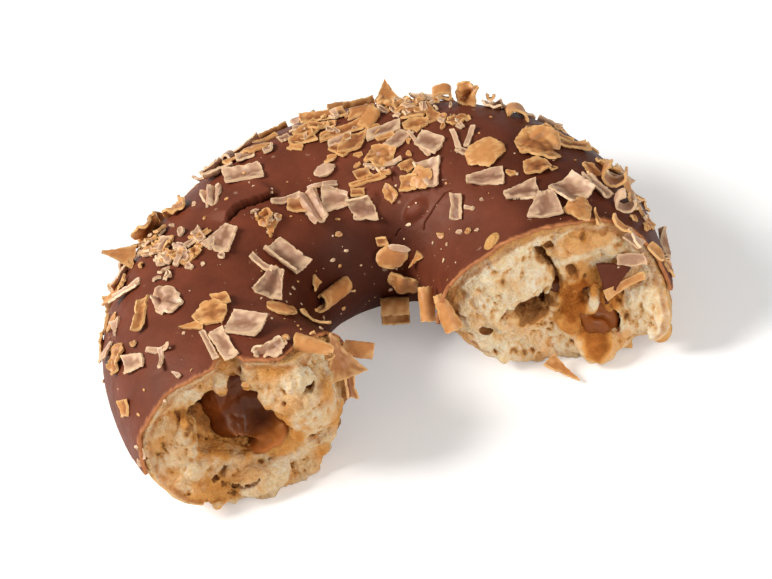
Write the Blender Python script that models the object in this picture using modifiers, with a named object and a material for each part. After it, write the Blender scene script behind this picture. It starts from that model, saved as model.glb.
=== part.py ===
"""Bitten ring doughnut: fried dough filled with caramel, its top and sides coated in chocolate.

Metres, +Z up. The doughnut lies on its flat foot at z = 0, and the eaten side faces -Y. Three nodes:

    dough             the crumb and crust, a C-shaped length of ring with two ragged bitten ends
    chocolate_coat    the thin shell over the top and both walls, with a wavy lower edge
    caramel_filling   the core that runs through the dough and pools behind each bite

Shapes are laid out in the ring's own coordinates. "turn" goes round the ring from +X towards +Y, and
"around" goes round the section of the tube from its outermost line over the top.
"""

from math import atan2, cos, exp, hypot, pi, radians, sin

import bmesh
import bpy
from mathutils import Matrix, Vector, noise

MM = 0.001

# Driving dimensions
RING_RADIUS = 27.0 * MM  # from the doughnut's axis to the middle of the tube
DOUGH_HALF_WIDTH = 16.8 * MM
DOUGH_HALF_HEIGHT = 13.6 * MM
FOOT_DROP = 12.8 * MM  # the flat foot's depth below the middle of the tube
COAT_THICKNESS = 0.9 * MM
GAP = 0.3 * MM  # kept between two solids that touch
RING_SIDESTEP, RING_SETBACK = -0.17 * MM, -11.73 * MM  # the ring's axis, from the middle of what is left

# Derived from them
RING_CENTRE = Vector((RING_SIDESTEP, RING_SETBACK, FOOT_DROP))
OUTER_RADIUS = RING_RADIUS + DOUGH_HALF_WIDTH + GAP + COAT_THICKNESS
TOP_HEIGHT = DOUGH_HALF_HEIGHT + GAP + COAT_THICKNESS

# Faceting
RING_SEGMENTS = 64
TUBE_SEGMENTS = 24
CORE_SEGMENTS = 10
EGG_SEGMENTS, EGG_RINGS = 18, 10
BITE_CELL_X, BITE_CELL_Z = 1.8 * MM, 2.4 * MM  # mesh size on a bitten face

# The coat's lower edge, as angles down from the tube's widest line
COAT_START_TURN, COAT_END_TURN = radians(-32), radians(226)
COAT_OUTER_DROP_START, COAT_OUTER_DROP_END = radians(1), radians(17)
COAT_INNER_DROP = radians(35)
COAT_EDGE_WAVE = radians(3.5)
COAT_CELLS_ROUND, COAT_CELLS_ACROSS = 44, 16

# The caramel core and the pools behind the bites
CORE_RADIUS = 27.8 * MM
CORE_HALF_WIDTH, CORE_HALF_HEIGHT = 3.3 * MM, 2.6 * MM
CORE_HEIGHT = -1.2 * MM
CARAMEL_RECESS = 1.2 * MM
# Ellipsoids: centre and half sizes in mm from the ring's centre, and tilt about Y in degrees
LEFT_HOLLOW = ((-24.6, -16.0, 1.4), (7.8, 10.0, 7.0), 14)
POOLS = {
    "left pool": ((-22.6, -9.5, -1.6), (5.2, 6.0, 4.4), 12),
    "right pool": ((32.5, -4.0, -4.5), (2.8, 6.5, 5.6), -28),
}

# Bitten faces, as y of the face in ring coordinates
LEFT_FACE, RIGHT_FACE = -15.8 * MM, -4.8 * MM
FACE_ROUGHNESS = 0.7 * MM
FACE_GRAIN = 5.0 * MM

# What teeth left on each face: x, z, spread in x, spread in z, and the push along y, where minus juts out
LEFT_LOBES_MM = (
    (-38, -10, 8, 7, -6.2),  # the outer lower corner stands furthest out
    (-24, -13, 7, 4, -2.2),
    (-32, 12, 5, 4, 0.6),  # scallop under the coat
    (-24.5, 14, 1.8, 5, 4.4),  # notch between the two upper lobes
    (-14.5, 6, 6, 9, -4.6),  # inner lobe, full and rounded
)
RIGHT_LOBES_MM = (
    (20, 4, 5, 7, -0.8),  # full cheek of crumb on the hole side
    (26, 6, 1.6, 7, 1.8),  # tear running down from the top
    (38, 12, 5, 5, 1.6),  # scallop under the coat
    (33, -9, 6, 7, -3.8),
    (43.8, -7, 4, 8, -10.0),  # horn of crust left on the outer side
    (11, 1, 2.5, 8, 2.5),
)
# Beside the hole the left face turns back to the line of the right one, in a rounded corner
CORNER_X, CORNER_Z = -8.6 * MM, 2.0 * MM
CORNER_ROUNDING = 27.0  # per metre
CORNER_WIDTH = 4.5 * MM

# Where the tube is fatter or thinner: turn and around in degrees, the spread of each, share of the size
DENTS = (
    (134, 25, 30, 70, -0.085),  # the back left was pressed in before the coat set
    (-14, -26, 12, 22, 0.13),  # bare waist bulging beside the right bite
    (202, -30, 14, 22, 0.08),  # and beside the left one
)


def start_afresh():
    for obj in list(bpy.data.objects):
        bpy.data.objects.remove(obj, do_unlink=True)


def new_collection(name, hidden=False):
    collection = bpy.data.collections.new(name)
    bpy.context.scene.collection.children.link(collection)
    collection.hide_render = hidden
    return collection


def new_material(name, colour, roughness):
    material = bpy.data.materials.new(name)
    material.use_nodes = True
    shader = material.node_tree.nodes["Principled BSDF"]
    shader.inputs["Base Color"].default_value = (*colour, 1)
    shader.inputs["Roughness"].default_value = roughness
    shader.inputs["Metallic"].default_value = 0.0
    return material


def take_active(name, collection):
    """Names the object that an operator has just made, and moves it to its collection."""
    obj = bpy.context.active_object
    obj.name = obj.data.name = name
    for old in list(obj.users_collection):
        old.objects.unlink(obj)
    collection.objects.link(obj)
    obj.select_set(False)
    return obj


def as_cutter(obj):
    obj.hide_render = True
    obj.display_type = "WIRE"
    return obj


def add_boolean(obj, operation, other):
    modifier = obj.modifiers.new(f"{operation.lower()} {other.name}", "BOOLEAN")
    modifier.operation = operation
    modifier.object = other


def smooth_step(value):
    value = min(max(value, 0.0), 1.0)
    return value * value * (3 - 2 * value)


def angle_between(first, second):
    return (first - second + pi) % (2 * pi) - pi


def unevenness(turn, around):
    """Share by which the tube is fatter or thinner there: no fried ring is quite round."""
    share = 0.008 * sin(2 * turn + around + 1.9) + 0.006 * sin(5 * turn - 2 * around)
    for dent_turn, dent_around, turn_spread, around_spread, depth in DENTS:
        away_turn = angle_between(turn, radians(dent_turn)) / radians(turn_spread)
        away_around = angle_between(around, radians(dent_around)) / radians(around_spread)
        share += depth * exp(-away_turn**2 - away_around**2)
    return share


def ring_point(turn, around, skin=0.0):
    """The point on the doughnut's surface at these two angles, lifted outwards by skin."""
    swell = 1 + unevenness(turn, around)
    out = RING_RADIUS + (DOUGH_HALF_WIDTH * swell + skin) * cos(around)
    up = (DOUGH_HALF_HEIGHT * swell + skin) * sin(around)
    up = max(up, -FOOT_DROP)
    return RING_CENTRE + Vector((out * cos(turn), out * sin(turn), up))


def ring_angles(point):
    """turn and around of a point on a plain torus about the origin."""
    turn = atan2(point.y, point.x)
    return turn, atan2(point.z, hypot(point.x, point.y) - RING_RADIUS)


def lobe_push(x, z, lobes_mm):
    push = 0.0
    for lobe_x, lobe_z, spread_x, spread_z, depth in lobes_mm:
        away_x = (x / MM - lobe_x) / spread_x
        away_z = (z / MM - lobe_z) / spread_z
        push += depth * MM * exp(-away_x**2 - away_z**2)
    return push


def bitten_face(x, z):
    """y of the bitten face, from the ring's axis: one face on each side of the hole."""
    left = LEFT_FACE + lobe_push(x, z, LEFT_LOBES_MM)
    right = RIGHT_FACE + lobe_push(x, z, RIGHT_LOBES_MM)
    corner = CORNER_X - CORNER_ROUNDING * (z - CORNER_Z) ** 2
    share = smooth_step((x - corner) / CORNER_WIDTH + 0.5)
    crumb = noise.noise(Vector((x, 0.7, z)) / FACE_GRAIN) * FACE_ROUGHNESS
    return left + (right - left) * share + crumb


def eaten_side(name, collection, recess=0.0):
    """Cutter that takes away all in front of the bitten faces, or of a line recess behind them."""
    half_width = OUTER_RADIUS + 4 * MM
    half_height = TOP_HEIGHT + 4 * MM
    front = -OUTER_RADIUS - 6 * MM
    bpy.ops.mesh.primitive_grid_add(
        x_subdivisions=round(2 * half_width / BITE_CELL_X),
        y_subdivisions=round(2 * half_height / BITE_CELL_Z),
        size=2,
    )
    obj = take_active(name, collection)
    work = bmesh.new()
    work.from_mesh(obj.data)
    for vertex in work.verts:
        x, z = vertex.co.x * half_width, vertex.co.y * half_height
        vertex.co = RING_CENTRE + Vector((x, bitten_face(x, z) + recess, z))
    made = bmesh.ops.extrude_face_region(work, geom=list(work.faces))["geom"]
    for vertex in (item for item in made if isinstance(item, bmesh.types.BMVert)):
        vertex.co.y = RING_CENTRE.y + front
    bmesh.ops.recalc_face_normals(work, faces=list(work.faces))
    work.to_mesh(obj.data)
    work.free()
    return as_cutter(obj)


def core_ring(name, collection, skin=0.0):
    """The filling's core as a whole ring, or with skin the channel that holds it."""
    bpy.ops.mesh.primitive_torus_add(
        major_segments=RING_SEGMENTS,
        minor_segments=CORE_SEGMENTS,
        major_radius=CORE_RADIUS,
        minor_radius=CORE_HALF_WIDTH + skin,
    )
    obj = take_active(name, collection)
    flatten = (CORE_HALF_HEIGHT + skin) / (CORE_HALF_WIDTH + skin)
    obj.data.transform(Matrix.Diagonal((1, 1, flatten, 1)))
    obj.data.transform(Matrix.Translation(RING_CENTRE + Vector((0, 0, CORE_HEIGHT))))
    return obj


def egg(name, collection, form, skin=0.0):
    """An ellipsoid of this centre, half sizes and tilt about Y, in ring coordinates, grown by skin."""
    centre_mm, half_sizes_mm, tilt = form
    bpy.ops.mesh.primitive_uv_sphere_add(segments=EGG_SEGMENTS, ring_count=EGG_RINGS, radius=1)
    obj = take_active(name, collection)
    half_sizes = [size * MM + skin for size in half_sizes_mm]
    obj.data.transform(Matrix.Diagonal((*half_sizes, 1)))
    obj.data.transform(Matrix.Rotation(radians(tilt), 4, "Y"))
    obj.data.transform(Matrix.Translation(RING_CENTRE + Vector(centre_mm) * MM))
    return obj


def make_dough(collection, cutters):
    bpy.ops.mesh.primitive_torus_add(
        major_segments=RING_SEGMENTS,
        minor_segments=TUBE_SEGMENTS,
        major_radius=RING_RADIUS,
        minor_radius=DOUGH_HALF_WIDTH,
    )
    obj = take_active("dough", collection)
    for vertex in obj.data.vertices:
        vertex.co = ring_point(*ring_angles(vertex.co))
    for cutter in cutters:
        add_boolean(obj, "DIFFERENCE", cutter)
    return obj


def coat_edges(turn):
    """The section angles at which the coat ends: on the outer wall, and on the wall of the hole."""
    share = (turn - COAT_START_TURN) / (COAT_END_TURN - COAT_START_TURN)
    drop = COAT_OUTER_DROP_START + (COAT_OUTER_DROP_END - COAT_OUTER_DROP_START) * share
    wave = COAT_EDGE_WAVE * (sin(7 * turn + 0.8) + 0.6 * sin(13 * turn))
    inner_wave = COAT_EDGE_WAVE * (sin(5 * turn) + 0.5 * sin(9 * turn + 2))
    return -drop - wave, pi + COAT_INNER_DROP + inner_wave


def make_coat(collection, eaten):
    bpy.ops.mesh.primitive_grid_add(
        x_subdivisions=COAT_CELLS_ROUND, y_subdivisions=COAT_CELLS_ACROSS, size=1
    )
    obj = take_active("chocolate_coat", collection)
    for vertex in obj.data.vertices:
        round_share, across_share = vertex.co.x + 0.5, vertex.co.y + 0.5
        turn = COAT_START_TURN + (COAT_END_TURN - COAT_START_TURN) * round_share
        low, high = coat_edges(turn)
        vertex.co = ring_point(turn, low + (high - low) * across_share, GAP)
    shell = obj.modifiers.new("coat thickness", "SOLIDIFY")
    shell.thickness = COAT_THICKNESS
    shell.offset = 1
    add_boolean(obj, "DIFFERENCE", eaten)
    return obj


def make_filling(collection, pools, eaten):
    obj = core_ring("caramel_filling", collection)
    for pool in pools:
        add_boolean(obj, "UNION", pool)
    add_boolean(obj, "DIFFERENCE", eaten)
    return obj


def main():
    start_afresh()
    parts = new_collection("bitten doughnut")
    cutters = new_collection("cutters", hidden=True)

    eaten = eaten_side("eaten side", cutters)
    eaten_filling = eaten_side("eaten side of the filling", cutters, CARAMEL_RECESS)

    # The pools are let into seats that clear them by the gap, and the left hollow is only partly filled
    channel = as_cutter(core_ring("channel", cutters, GAP))
    left_hollow = as_cutter(egg("left hollow", cutters, LEFT_HOLLOW))
    pool_seats = [as_cutter(egg(f"{name} seat", cutters, pool, GAP)) for name, pool in POOLS.items()]
    pools = [as_cutter(egg(name, cutters, pool)) for name, pool in POOLS.items()]

    dough = make_dough(parts, [channel, *pool_seats, left_hollow, eaten])
    coat = make_coat(parts, eaten)
    filling = make_filling(parts, pools, eaten_filling)

    dough.data.materials.append(new_material("crumb and crust", (0.62, 0.42, 0.20), 0.8))
    coat.data.materials.append(new_material("milk chocolate", (0.16, 0.055, 0.035), 0.4))
    filling.data.materials.append(new_material("caramel", (0.28, 0.085, 0.02), 0.15))
    for obj in (dough, coat, filling):
        obj.data.shade_smooth()
        obj.data.set_sharp_from_angle(angle=radians(50))


main()
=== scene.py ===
# %% [markdown]
# # A bitten doughnut
#
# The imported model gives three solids: the dough, its chocolate coat and the caramel inside. They have the
# right size and form, but a doughnut is mostly surface: torn crumb, a crust, satin chocolate, and dozens
# of shavings. This lesson dresses the solids, one piece after another, in the order a baker would.

from math import atan2, cos, degrees, exp, hypot, pi, radians, sin
from random import Random

import bmesh
import bpy
from mathutils import Matrix, Vector, noise
from mathutils.bvhtree import BVHTree
from mathutils.kdtree import KDTree


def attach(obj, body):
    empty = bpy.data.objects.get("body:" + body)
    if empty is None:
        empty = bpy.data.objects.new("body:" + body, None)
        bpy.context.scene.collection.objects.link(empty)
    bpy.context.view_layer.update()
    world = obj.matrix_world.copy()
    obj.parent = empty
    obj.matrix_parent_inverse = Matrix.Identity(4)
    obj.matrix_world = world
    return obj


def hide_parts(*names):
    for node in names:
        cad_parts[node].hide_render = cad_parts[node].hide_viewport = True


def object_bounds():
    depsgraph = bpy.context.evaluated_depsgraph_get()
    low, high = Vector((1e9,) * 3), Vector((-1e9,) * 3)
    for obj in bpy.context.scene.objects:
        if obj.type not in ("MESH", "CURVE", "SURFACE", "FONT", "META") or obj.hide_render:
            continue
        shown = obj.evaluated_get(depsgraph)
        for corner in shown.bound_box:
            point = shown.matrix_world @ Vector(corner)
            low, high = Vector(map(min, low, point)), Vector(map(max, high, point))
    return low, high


MM = 0.001

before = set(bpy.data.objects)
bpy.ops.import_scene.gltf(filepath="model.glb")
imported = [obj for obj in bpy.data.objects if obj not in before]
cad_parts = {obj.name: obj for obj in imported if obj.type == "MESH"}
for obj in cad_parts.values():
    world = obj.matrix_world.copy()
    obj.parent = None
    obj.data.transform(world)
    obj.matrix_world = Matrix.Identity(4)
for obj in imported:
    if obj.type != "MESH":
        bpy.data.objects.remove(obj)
cad_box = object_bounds()
print("solids:", ", ".join(sorted(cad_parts)))
print("box of the solids, mm:", [round(side / MM, 1) for side in cad_box[1] - cad_box[0]])

# %% [markdown]
# ## The ring's own coordinates
#
# Everything on a doughnut is easier to place by two angles than by x, y and z. "turn" goes round the ring,
# anticlockwise from the right, and "around" goes round the section of the tube: 0 at the outermost line,
# 90 on top, 180 at the wall of the hole. The sizes are those of the solids, so a place found here lies on
# them.

# %% Sizes of the ring
RING_RADIUS = 27.0 * MM
DOUGH_HALF_WIDTH, DOUGH_HALF_HEIGHT = 16.8 * MM, 13.6 * MM
FOOT_DROP = 12.8 * MM
COAT_GAP, COAT_THICKNESS = 0.3 * MM, 0.9 * MM
COAT_SKIN = COAT_GAP + COAT_THICKNESS
RING_CENTRE = Vector((-0.17, -11.73, 12.8)) * MM
# Where the tube is fatter or thinner: turn, around and the spread of each in degrees, share of the size
DENTS = ((134, 25, 30, 70, -0.085), (-14, -26, 12, 22, 0.13), (202, -30, 14, 22, 0.08))


def angle_between(first, second):
    return (first - second + pi) % (2 * pi) - pi


def smooth_step(value):
    value = min(max(value, 0.0), 1.0)
    return value * value * (3 - 2 * value)


def unevenness(turn, around):
    """Share by which the tube is fatter or thinner there."""
    share = 0.008 * sin(2 * turn + around + 1.9) + 0.006 * sin(5 * turn - 2 * around)
    for dent_turn, dent_around, turn_spread, around_spread, depth in DENTS:
        away_turn = angle_between(turn, radians(dent_turn)) / radians(turn_spread)
        away_around = angle_between(around, radians(dent_around)) / radians(around_spread)
        share += depth * exp(-(away_turn**2) - away_around**2)
    return share


def ring_point(turn, around, skin=0.0):
    """The point on the dough's surface at these two angles, lifted outwards by skin."""
    swell = 1 + unevenness(turn, around)
    out = RING_RADIUS + (DOUGH_HALF_WIDTH * swell + skin) * cos(around)
    up = max((DOUGH_HALF_HEIGHT * swell + skin) * sin(around), -FOOT_DROP)
    return RING_CENTRE + Vector((out * cos(turn), out * sin(turn), up))


def ring_axes(turn, around):
    """Three unit vectors there: along the ring, round its section, and outwards."""
    step = 0.002
    along = ring_point(turn + step, around) - ring_point(turn - step, around)
    across = ring_point(turn, around + step) - ring_point(turn, around - step)
    outwards = along.cross(across).normalized()
    if outwards.dot(ring_point(turn, around, MM) - ring_point(turn, around)) < 0:
        outwards.negate()
    along.normalize()
    return along, outwards.cross(along), outwards


def ring_place(point):
    """turn, around and the height above the dough's surface, which is negative inside it."""
    local = point - RING_CENTRE
    turn = atan2(local.y, local.x)
    out = hypot(local.x, local.y) - RING_RADIUS
    around = atan2(local.z / DOUGH_HALF_HEIGHT, out / DOUGH_HALF_WIDTH)
    swell = 1 + unevenness(turn, around)
    share = hypot(out / DOUGH_HALF_WIDTH, local.z / DOUGH_HALF_HEIGHT)
    radius = hypot(DOUGH_HALF_WIDTH * cos(around), DOUGH_HALF_HEIGHT * sin(around))
    return turn, around, (share - swell) * radius


print("top of the coat, mm:", round(ring_point(radians(90), radians(90), COAT_SKIN).z / MM, 1))

# %% [markdown]
# ## Camera, light and floor
#
# The doughnut is seen from about 43 degrees above, with the head tilted a little, through a long lens that
# keeps parallel lines parallel. Its light is a studio's: one large soft lamp high on the left, a weak one
# on the right, and a white room that fills the shadows.

# %% Camera
VIEW_ELEVATION, VIEW_ROLL = radians(43.2), radians(14.8)
LENS, SENSOR = 180.0, 36.0
VIEW_WIDTH = 121.5 * MM  # what the frame is wide at the doughnut
AIM_RIGHT, AIM_UP = 0.4 * MM, 4.6 * MM  # the middle of the view, from the ring's centre

forward = Vector((0, cos(VIEW_ELEVATION), -sin(VIEW_ELEVATION)))
level_up = Vector((0, sin(VIEW_ELEVATION), cos(VIEW_ELEVATION)))
view_right = Vector((cos(VIEW_ROLL), 0, 0)) - sin(VIEW_ROLL) * level_up
view_up = Vector((sin(VIEW_ROLL), 0, 0)) + cos(VIEW_ROLL) * level_up

camera_data = bpy.data.cameras.new("camera")
camera_data.lens, camera_data.sensor_width = LENS, SENSOR
camera_data.clip_start, camera_data.clip_end = 0.01, 20
camera = bpy.data.objects.new("camera", camera_data)
bpy.context.scene.collection.objects.link(camera)
aim = RING_CENTRE + view_right * AIM_RIGHT + view_up * AIM_UP
camera_place = Matrix((view_right, view_up, -forward)).transposed().to_4x4()
camera_place.translation = aim - forward * (VIEW_WIDTH * LENS / SENSOR)
camera.matrix_world = camera_place
bpy.context.scene.camera = camera
bpy.context.scene.view_settings.view_transform = "Standard"
print("camera distance, mm:", round(VIEW_WIDTH * LENS / SENSOR / MM))


# %% Lamps and room
def add_lamp(name, place_mm, width_mm, watts, colour):
    lamp = bpy.data.lights.new(name, "AREA")
    lamp.shape = "SQUARE"
    lamp.size = width_mm * MM
    lamp.energy = watts
    lamp.color = colour
    holder = bpy.data.objects.new(name, lamp)
    bpy.context.scene.collection.objects.link(holder)
    holder.location = Vector(place_mm) * MM
    holder.rotation_euler = (holder.location - RING_CENTRE).to_track_quat("Z", "Y").to_euler()


add_lamp("key", (-440, 40, 430), 240, 4.1, (1.0, 0.985, 0.955))
add_lamp("front", (300, -480, 270), 380, 1.9, (1.0, 0.98, 0.95))

ROOM_STRENGTH = 0.31
room = bpy.data.worlds.new("room")
room.use_nodes = True
room_light = room.node_tree.nodes["Background"].inputs
room_light["Color"].default_value = (1, 1, 1, 1)
room_light["Strength"].default_value = ROOM_STRENGTH
bpy.context.scene.world = room
print("lamps:", [light.name for light in bpy.data.lights])


# %% [markdown]
# ## Finishes
#
# Each finish is a tree of nodes. Two effects come back in almost all of them, so they are groups: a slow
# mottling between two colours, and a fine grain that raises the surface. Both read the piece's own
# coordinates, so the pattern stays put when the piece moves.

# %% Node helpers
def add_node(tree, kind, **settings):
    node = tree.nodes.new(kind)
    for name, value in settings.items():
        setattr(node, name, value)
    return node


def feed(tree, socket, value):
    """Joins a socket to another one, or sets it to a plain value: a colour is given without its alpha."""
    if isinstance(value, bpy.types.NodeSocket):
        tree.links.new(value, socket)
    elif isinstance(value, tuple):
        socket.default_value = (*value, 1)
    else:
        socket.default_value = value


def mix_colours(tree, share, first, second, blend="MIX"):
    node = add_node(tree, "ShaderNodeMix", data_type="RGBA", blend_type=blend)
    feed(tree, node.inputs[0], share)
    feed(tree, node.inputs[6], first)
    feed(tree, node.inputs[7], second)
    return node.outputs[2]


def multiply_colours(tree, first, second):
    return mix_colours(tree, 1.0, first, second, blend="MULTIPLY")


def calculate(tree, operation, first, second, clamp=False):
    node = add_node(tree, "ShaderNodeMath", operation=operation, use_clamp=clamp)
    feed(tree, node.inputs[0], first)
    feed(tree, node.inputs[1], second)
    return node.outputs[0]


def rescale(tree, value, low, high, to_low=0.0, to_high=1.0):
    node = add_node(tree, "ShaderNodeMapRange", interpolation_type="SMOOTHSTEP")
    for socket, number in zip(node.inputs, (value, low, high, to_low, to_high)):
        feed(tree, socket, number)
    return node.outputs["Result"]


def new_group(name, inputs, outputs):
    group = bpy.data.node_groups.new(name, "ShaderNodeTree")
    for label, kind in inputs:
        group.interface.new_socket(name=label, in_out="INPUT", socket_type=f"NodeSocket{kind}")
    for label, kind in outputs:
        group.interface.new_socket(name=label, in_out="OUTPUT", socket_type=f"NodeSocket{kind}")
    return group, add_node(group, "NodeGroupInput").outputs, add_node(group, "NodeGroupOutput").inputs


# %% The two shared groups
def make_mottling():
    group, given, result = new_group(
        "mottling",
        (("Light", "Color"), ("Dark", "Color"), ("Scale", "Float"), ("Contrast", "Float")),
        (("Color", "Color"), ("Share", "Float")),
    )
    cloudy = add_node(group, "ShaderNodeTexNoise")
    cloudy.inputs["Detail"].default_value = 5
    cloudy.inputs["Roughness"].default_value = 0.6
    feed(group, cloudy.inputs["Vector"], add_node(group, "ShaderNodeTexCoord").outputs["Object"])
    feed(group, cloudy.inputs["Scale"], given["Scale"])
    centred = calculate(group, "SUBTRACT", cloudy.outputs["Fac"], 0.5)
    stretched = calculate(group, "MULTIPLY", centred, given["Contrast"])
    share = calculate(group, "ADD", stretched, 0.5, clamp=True)
    feed(group, result["Color"], mix_colours(group, share, given["Dark"], given["Light"]))
    feed(group, result["Share"], share)
    return group


def make_grain():
    group, given, result = new_group(
        "grain",
        (("Scale", "Float"), ("Pits", "Float")),
        (("Height", "Float"),),
    )
    place = add_node(group, "ShaderNodeTexCoord").outputs["Object"]
    fine = add_node(group, "ShaderNodeTexNoise")
    fine.inputs["Detail"].default_value = 6
    fine.inputs["Roughness"].default_value = 0.65
    cells = add_node(group, "ShaderNodeTexVoronoi")
    for texture in (fine, cells):
        feed(group, texture.inputs["Vector"], place)
        feed(group, texture.inputs["Scale"], given["Scale"])
    pitted = calculate(group, "MULTIPLY", cells.outputs["Distance"], given["Pits"])
    feed(group, result["Height"], calculate(group, "ADD", fine.outputs["Fac"], pitted))
    return group


MOTTLING, GRAIN = make_mottling(), make_grain()
print("node groups:", MOTTLING.name, GRAIN.name)


# %% Using them in a finish
def new_finish(name):
    finish = bpy.data.materials.new(name)
    finish.use_nodes = True
    return finish, finish.node_tree, finish.node_tree.nodes["Principled BSDF"]


def add_mottling(tree, light, dark, scale, contrast):
    node = add_node(tree, "ShaderNodeGroup", node_tree=MOTTLING)
    for label, value in (("Light", light), ("Dark", dark), ("Scale", scale), ("Contrast", contrast)):
        feed(tree, node.inputs[label], value)
    return node.outputs


def mottled(tree, light, dark, scale, contrast):
    """Clouds between two colours."""
    return add_mottling(tree, light, dark, scale, contrast)["Color"]


def clouds(tree, scale, contrast):
    """The same clouds as a share, 0 to 1."""
    return add_mottling(tree, (1.0, 1.0, 1.0), (0.0, 0.0, 0.0), scale, contrast)["Share"]


def raise_grain(tree, shader, scale, pits, depth_mm):
    """Feeds the grain to the shader's normal, as a bump of this depth."""
    grain = add_node(tree, "ShaderNodeGroup", node_tree=GRAIN)
    feed(tree, grain.inputs["Scale"], scale)
    feed(tree, grain.inputs["Pits"], pits)
    bump = add_node(tree, "ShaderNodeBump")
    feed(tree, bump.inputs["Distance"], depth_mm * MM)
    feed(tree, bump.inputs["Strength"], 1.0)
    feed(tree, bump.inputs["Height"], grain.outputs["Height"])
    feed(tree, shader.inputs["Normal"], bump.outputs["Normal"])


def read_attribute(tree, name):
    return add_node(tree, "ShaderNodeAttribute", attribute_name=name).outputs["Fac"]


def own_coordinates(tree):
    return add_node(tree, "ShaderNodeTexCoord").outputs["Object"]


def set_values(shader, values):
    for name, value in values.items():
        shader.inputs[name].default_value = value


def let_light_in(shader, weight, reach, scale_mm):
    """Scatters light inside: how much of it, how far its red, green and blue reach, and the scale in mm."""
    set_values(
        shader, {"Subsurface Weight": weight, "Subsurface Radius": reach, "Subsurface Scale": scale_mm * MM}
    )


# %% [markdown]
# ### Chocolate
#
# Milk chocolate sets with a satin skin: dark reddish brown, cloudier where it cooled slowly, and a little
# duller in some places than in others. It is painted darker on the wall of the hole and towards the right,
# which is painted shade, and along the fold of the ledge, which is a painted shadow; an attribute says where.
# Where it broke, marked by "broken", it is lighter and redder than the skin. A few pale smudges are
# chocolate dust.

# %% Chocolate finish
def make_chocolate():
    finish, tree, shader = new_finish("milk chocolate")
    skin = mottled(tree, (0.19, 0.045, 0.021), (0.115, 0.027, 0.0125), 150, 2.2)
    # The darker colour is painted shade, for the wall of the hole, the right side and the ledge's fold
    dark_tone_and_painted_shade = mottled(tree, (0.07, 0.013, 0.005), (0.04, 0.007, 0.0025), 150, 1.8)
    broken = mottled(tree, (0.60, 0.24, 0.09), (0.34, 0.11, 0.04), 900, 2.0)
    colour = mix_colours(tree, read_attribute(tree, "dark_tone_and_painted_shade"), skin, dark_tone_and_painted_shade)
    colour = mix_colours(tree, read_attribute(tree, "broken"), colour, broken)
    dust = add_node(tree, "ShaderNodeTexVoronoi")
    feed(tree, dust.inputs["Vector"], own_coordinates(tree))
    feed(tree, dust.inputs["Scale"], 420)
    speck = rescale(tree, dust.outputs["Distance"], 0.10, 0.26, 1, 0)
    few = rescale(tree, clouds(tree, 480, 3.0), 0.72, 0.9)
    smudge = calculate(tree, "MULTIPLY", calculate(tree, "MULTIPLY", speck, few), 0.35)
    feed(tree, shader.inputs["Base Color"], mix_colours(tree, smudge, colour, (0.62, 0.40, 0.26)))
    feed(tree, shader.inputs["Roughness"], rescale(tree, clouds(tree, 330, 2.2), 0, 1, 0.44, 0.58))
    raise_grain(tree, shader, 1100, 0.15, 0.09)
    set_values(shader, {"Specular IOR Level": 0.22, "Specular Tint": (1.0, 0.80, 0.68, 1)})
    return finish


CHOCOLATE = make_chocolate()


# %% [markdown]
# ### Crumb and crust
#
# One finish covers the whole dough, because the crust passes into the crumb without a seam. The mesh says
# where it is what: "crust" is 1 on the fried skin, "rind" is 1 on the brown line under the coat, "pit" is 1
# at the bottom of a pore, and "stain" is 1 where caramel has soaked in: a little of it turns crumb golden,
# and much of it amber. Light goes some way into crumb, so it gets subsurface scattering.

# %% Dough finish
LEFT_SHADE_FROM, LEFT_SHADE_TO = 0.0, -10 * MM  # x where the painted shade on the left end begins, and where it is full


def make_crumb():
    finish, tree, shader = new_finish("crumb and crust")
    pit, stain = read_attribute(tree, "pit"), read_attribute(tree, "stain")
    ridge = mottled(tree, (0.93, 0.85, 0.69), (0.88, 0.69, 0.44), 300, 3.0)
    ridge = multiply_colours(tree, ridge, mottled(tree, (1.0, 1.0, 1.0), (0.92, 0.78, 0.58), 1600, 3.0))
    slope = mottled(tree, (0.84, 0.52, 0.22), (0.70, 0.34, 0.11), 500, 2.4)
    golden = mottled(tree, (0.84, 0.43, 0.125), (0.66, 0.26, 0.052), 500, 1.8)
    depth = mottled(tree, (0.36, 0.145, 0.042), (0.17, 0.055, 0.014), 600, 2.0)
    amber = mottled(tree, (0.54, 0.18, 0.03), (0.30, 0.08, 0.011), 500, 1.8)
    # Pits turn the crumb towards the slope and depth colours: partly damper walls, partly painted shade
    crumb = mix_colours(tree, rescale(tree, pit, 0.04, 0.6), ridge, slope)
    crumb = mix_colours(tree, rescale(tree, stain, 0, 0.55), crumb, golden)
    crumb = mix_colours(tree, rescale(tree, pit, 0.5, 1), crumb, depth)
    crumb = mix_colours(tree, rescale(tree, stain, 0.45, 1.0), crumb, amber)
    # The left end is painted a little darker than the right one: painted shade
    place = add_node(tree, "ShaderNodeSeparateXYZ")
    feed(tree, place.inputs[0], own_coordinates(tree))
    left_shade = rescale(tree, place.outputs["X"], LEFT_SHADE_TO, LEFT_SHADE_FROM, 1, 0)
    crumb = mix_colours(tree, left_shade, crumb, multiply_colours(tree, crumb, (0.85, 0.83, 0.81)))
    rind = mottled(tree, (0.58, 0.24, 0.07), (0.34, 0.115, 0.03), 700, 2.4)
    crumb = mix_colours(tree, read_attribute(tree, "rind"), crumb, rind)
    fried = mottled(tree, (0.80, 0.46, 0.17), (0.56, 0.25, 0.07), 300, 2.4)
    feed(tree, shader.inputs["Base Color"], mix_colours(tree, read_attribute(tree, "crust"), crumb, fried))
    set_values(shader, {"Roughness": 0.8, "Specular IOR Level": 0.1})
    let_light_in(shader, 0.4, (1.0, 0.7, 0.42), 1.5)
    raise_grain(tree, shader, 2100, 0.8, 0.34)
    return finish


CRUMB = make_crumb()


# %% [markdown]
# ### Caramel
#
# Soft caramel is wet and dense: a dark amber body that light enters a little, under a smooth and shiny
# skin. Where it is "thin", at the lip of the pool, it is lighter.

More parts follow.
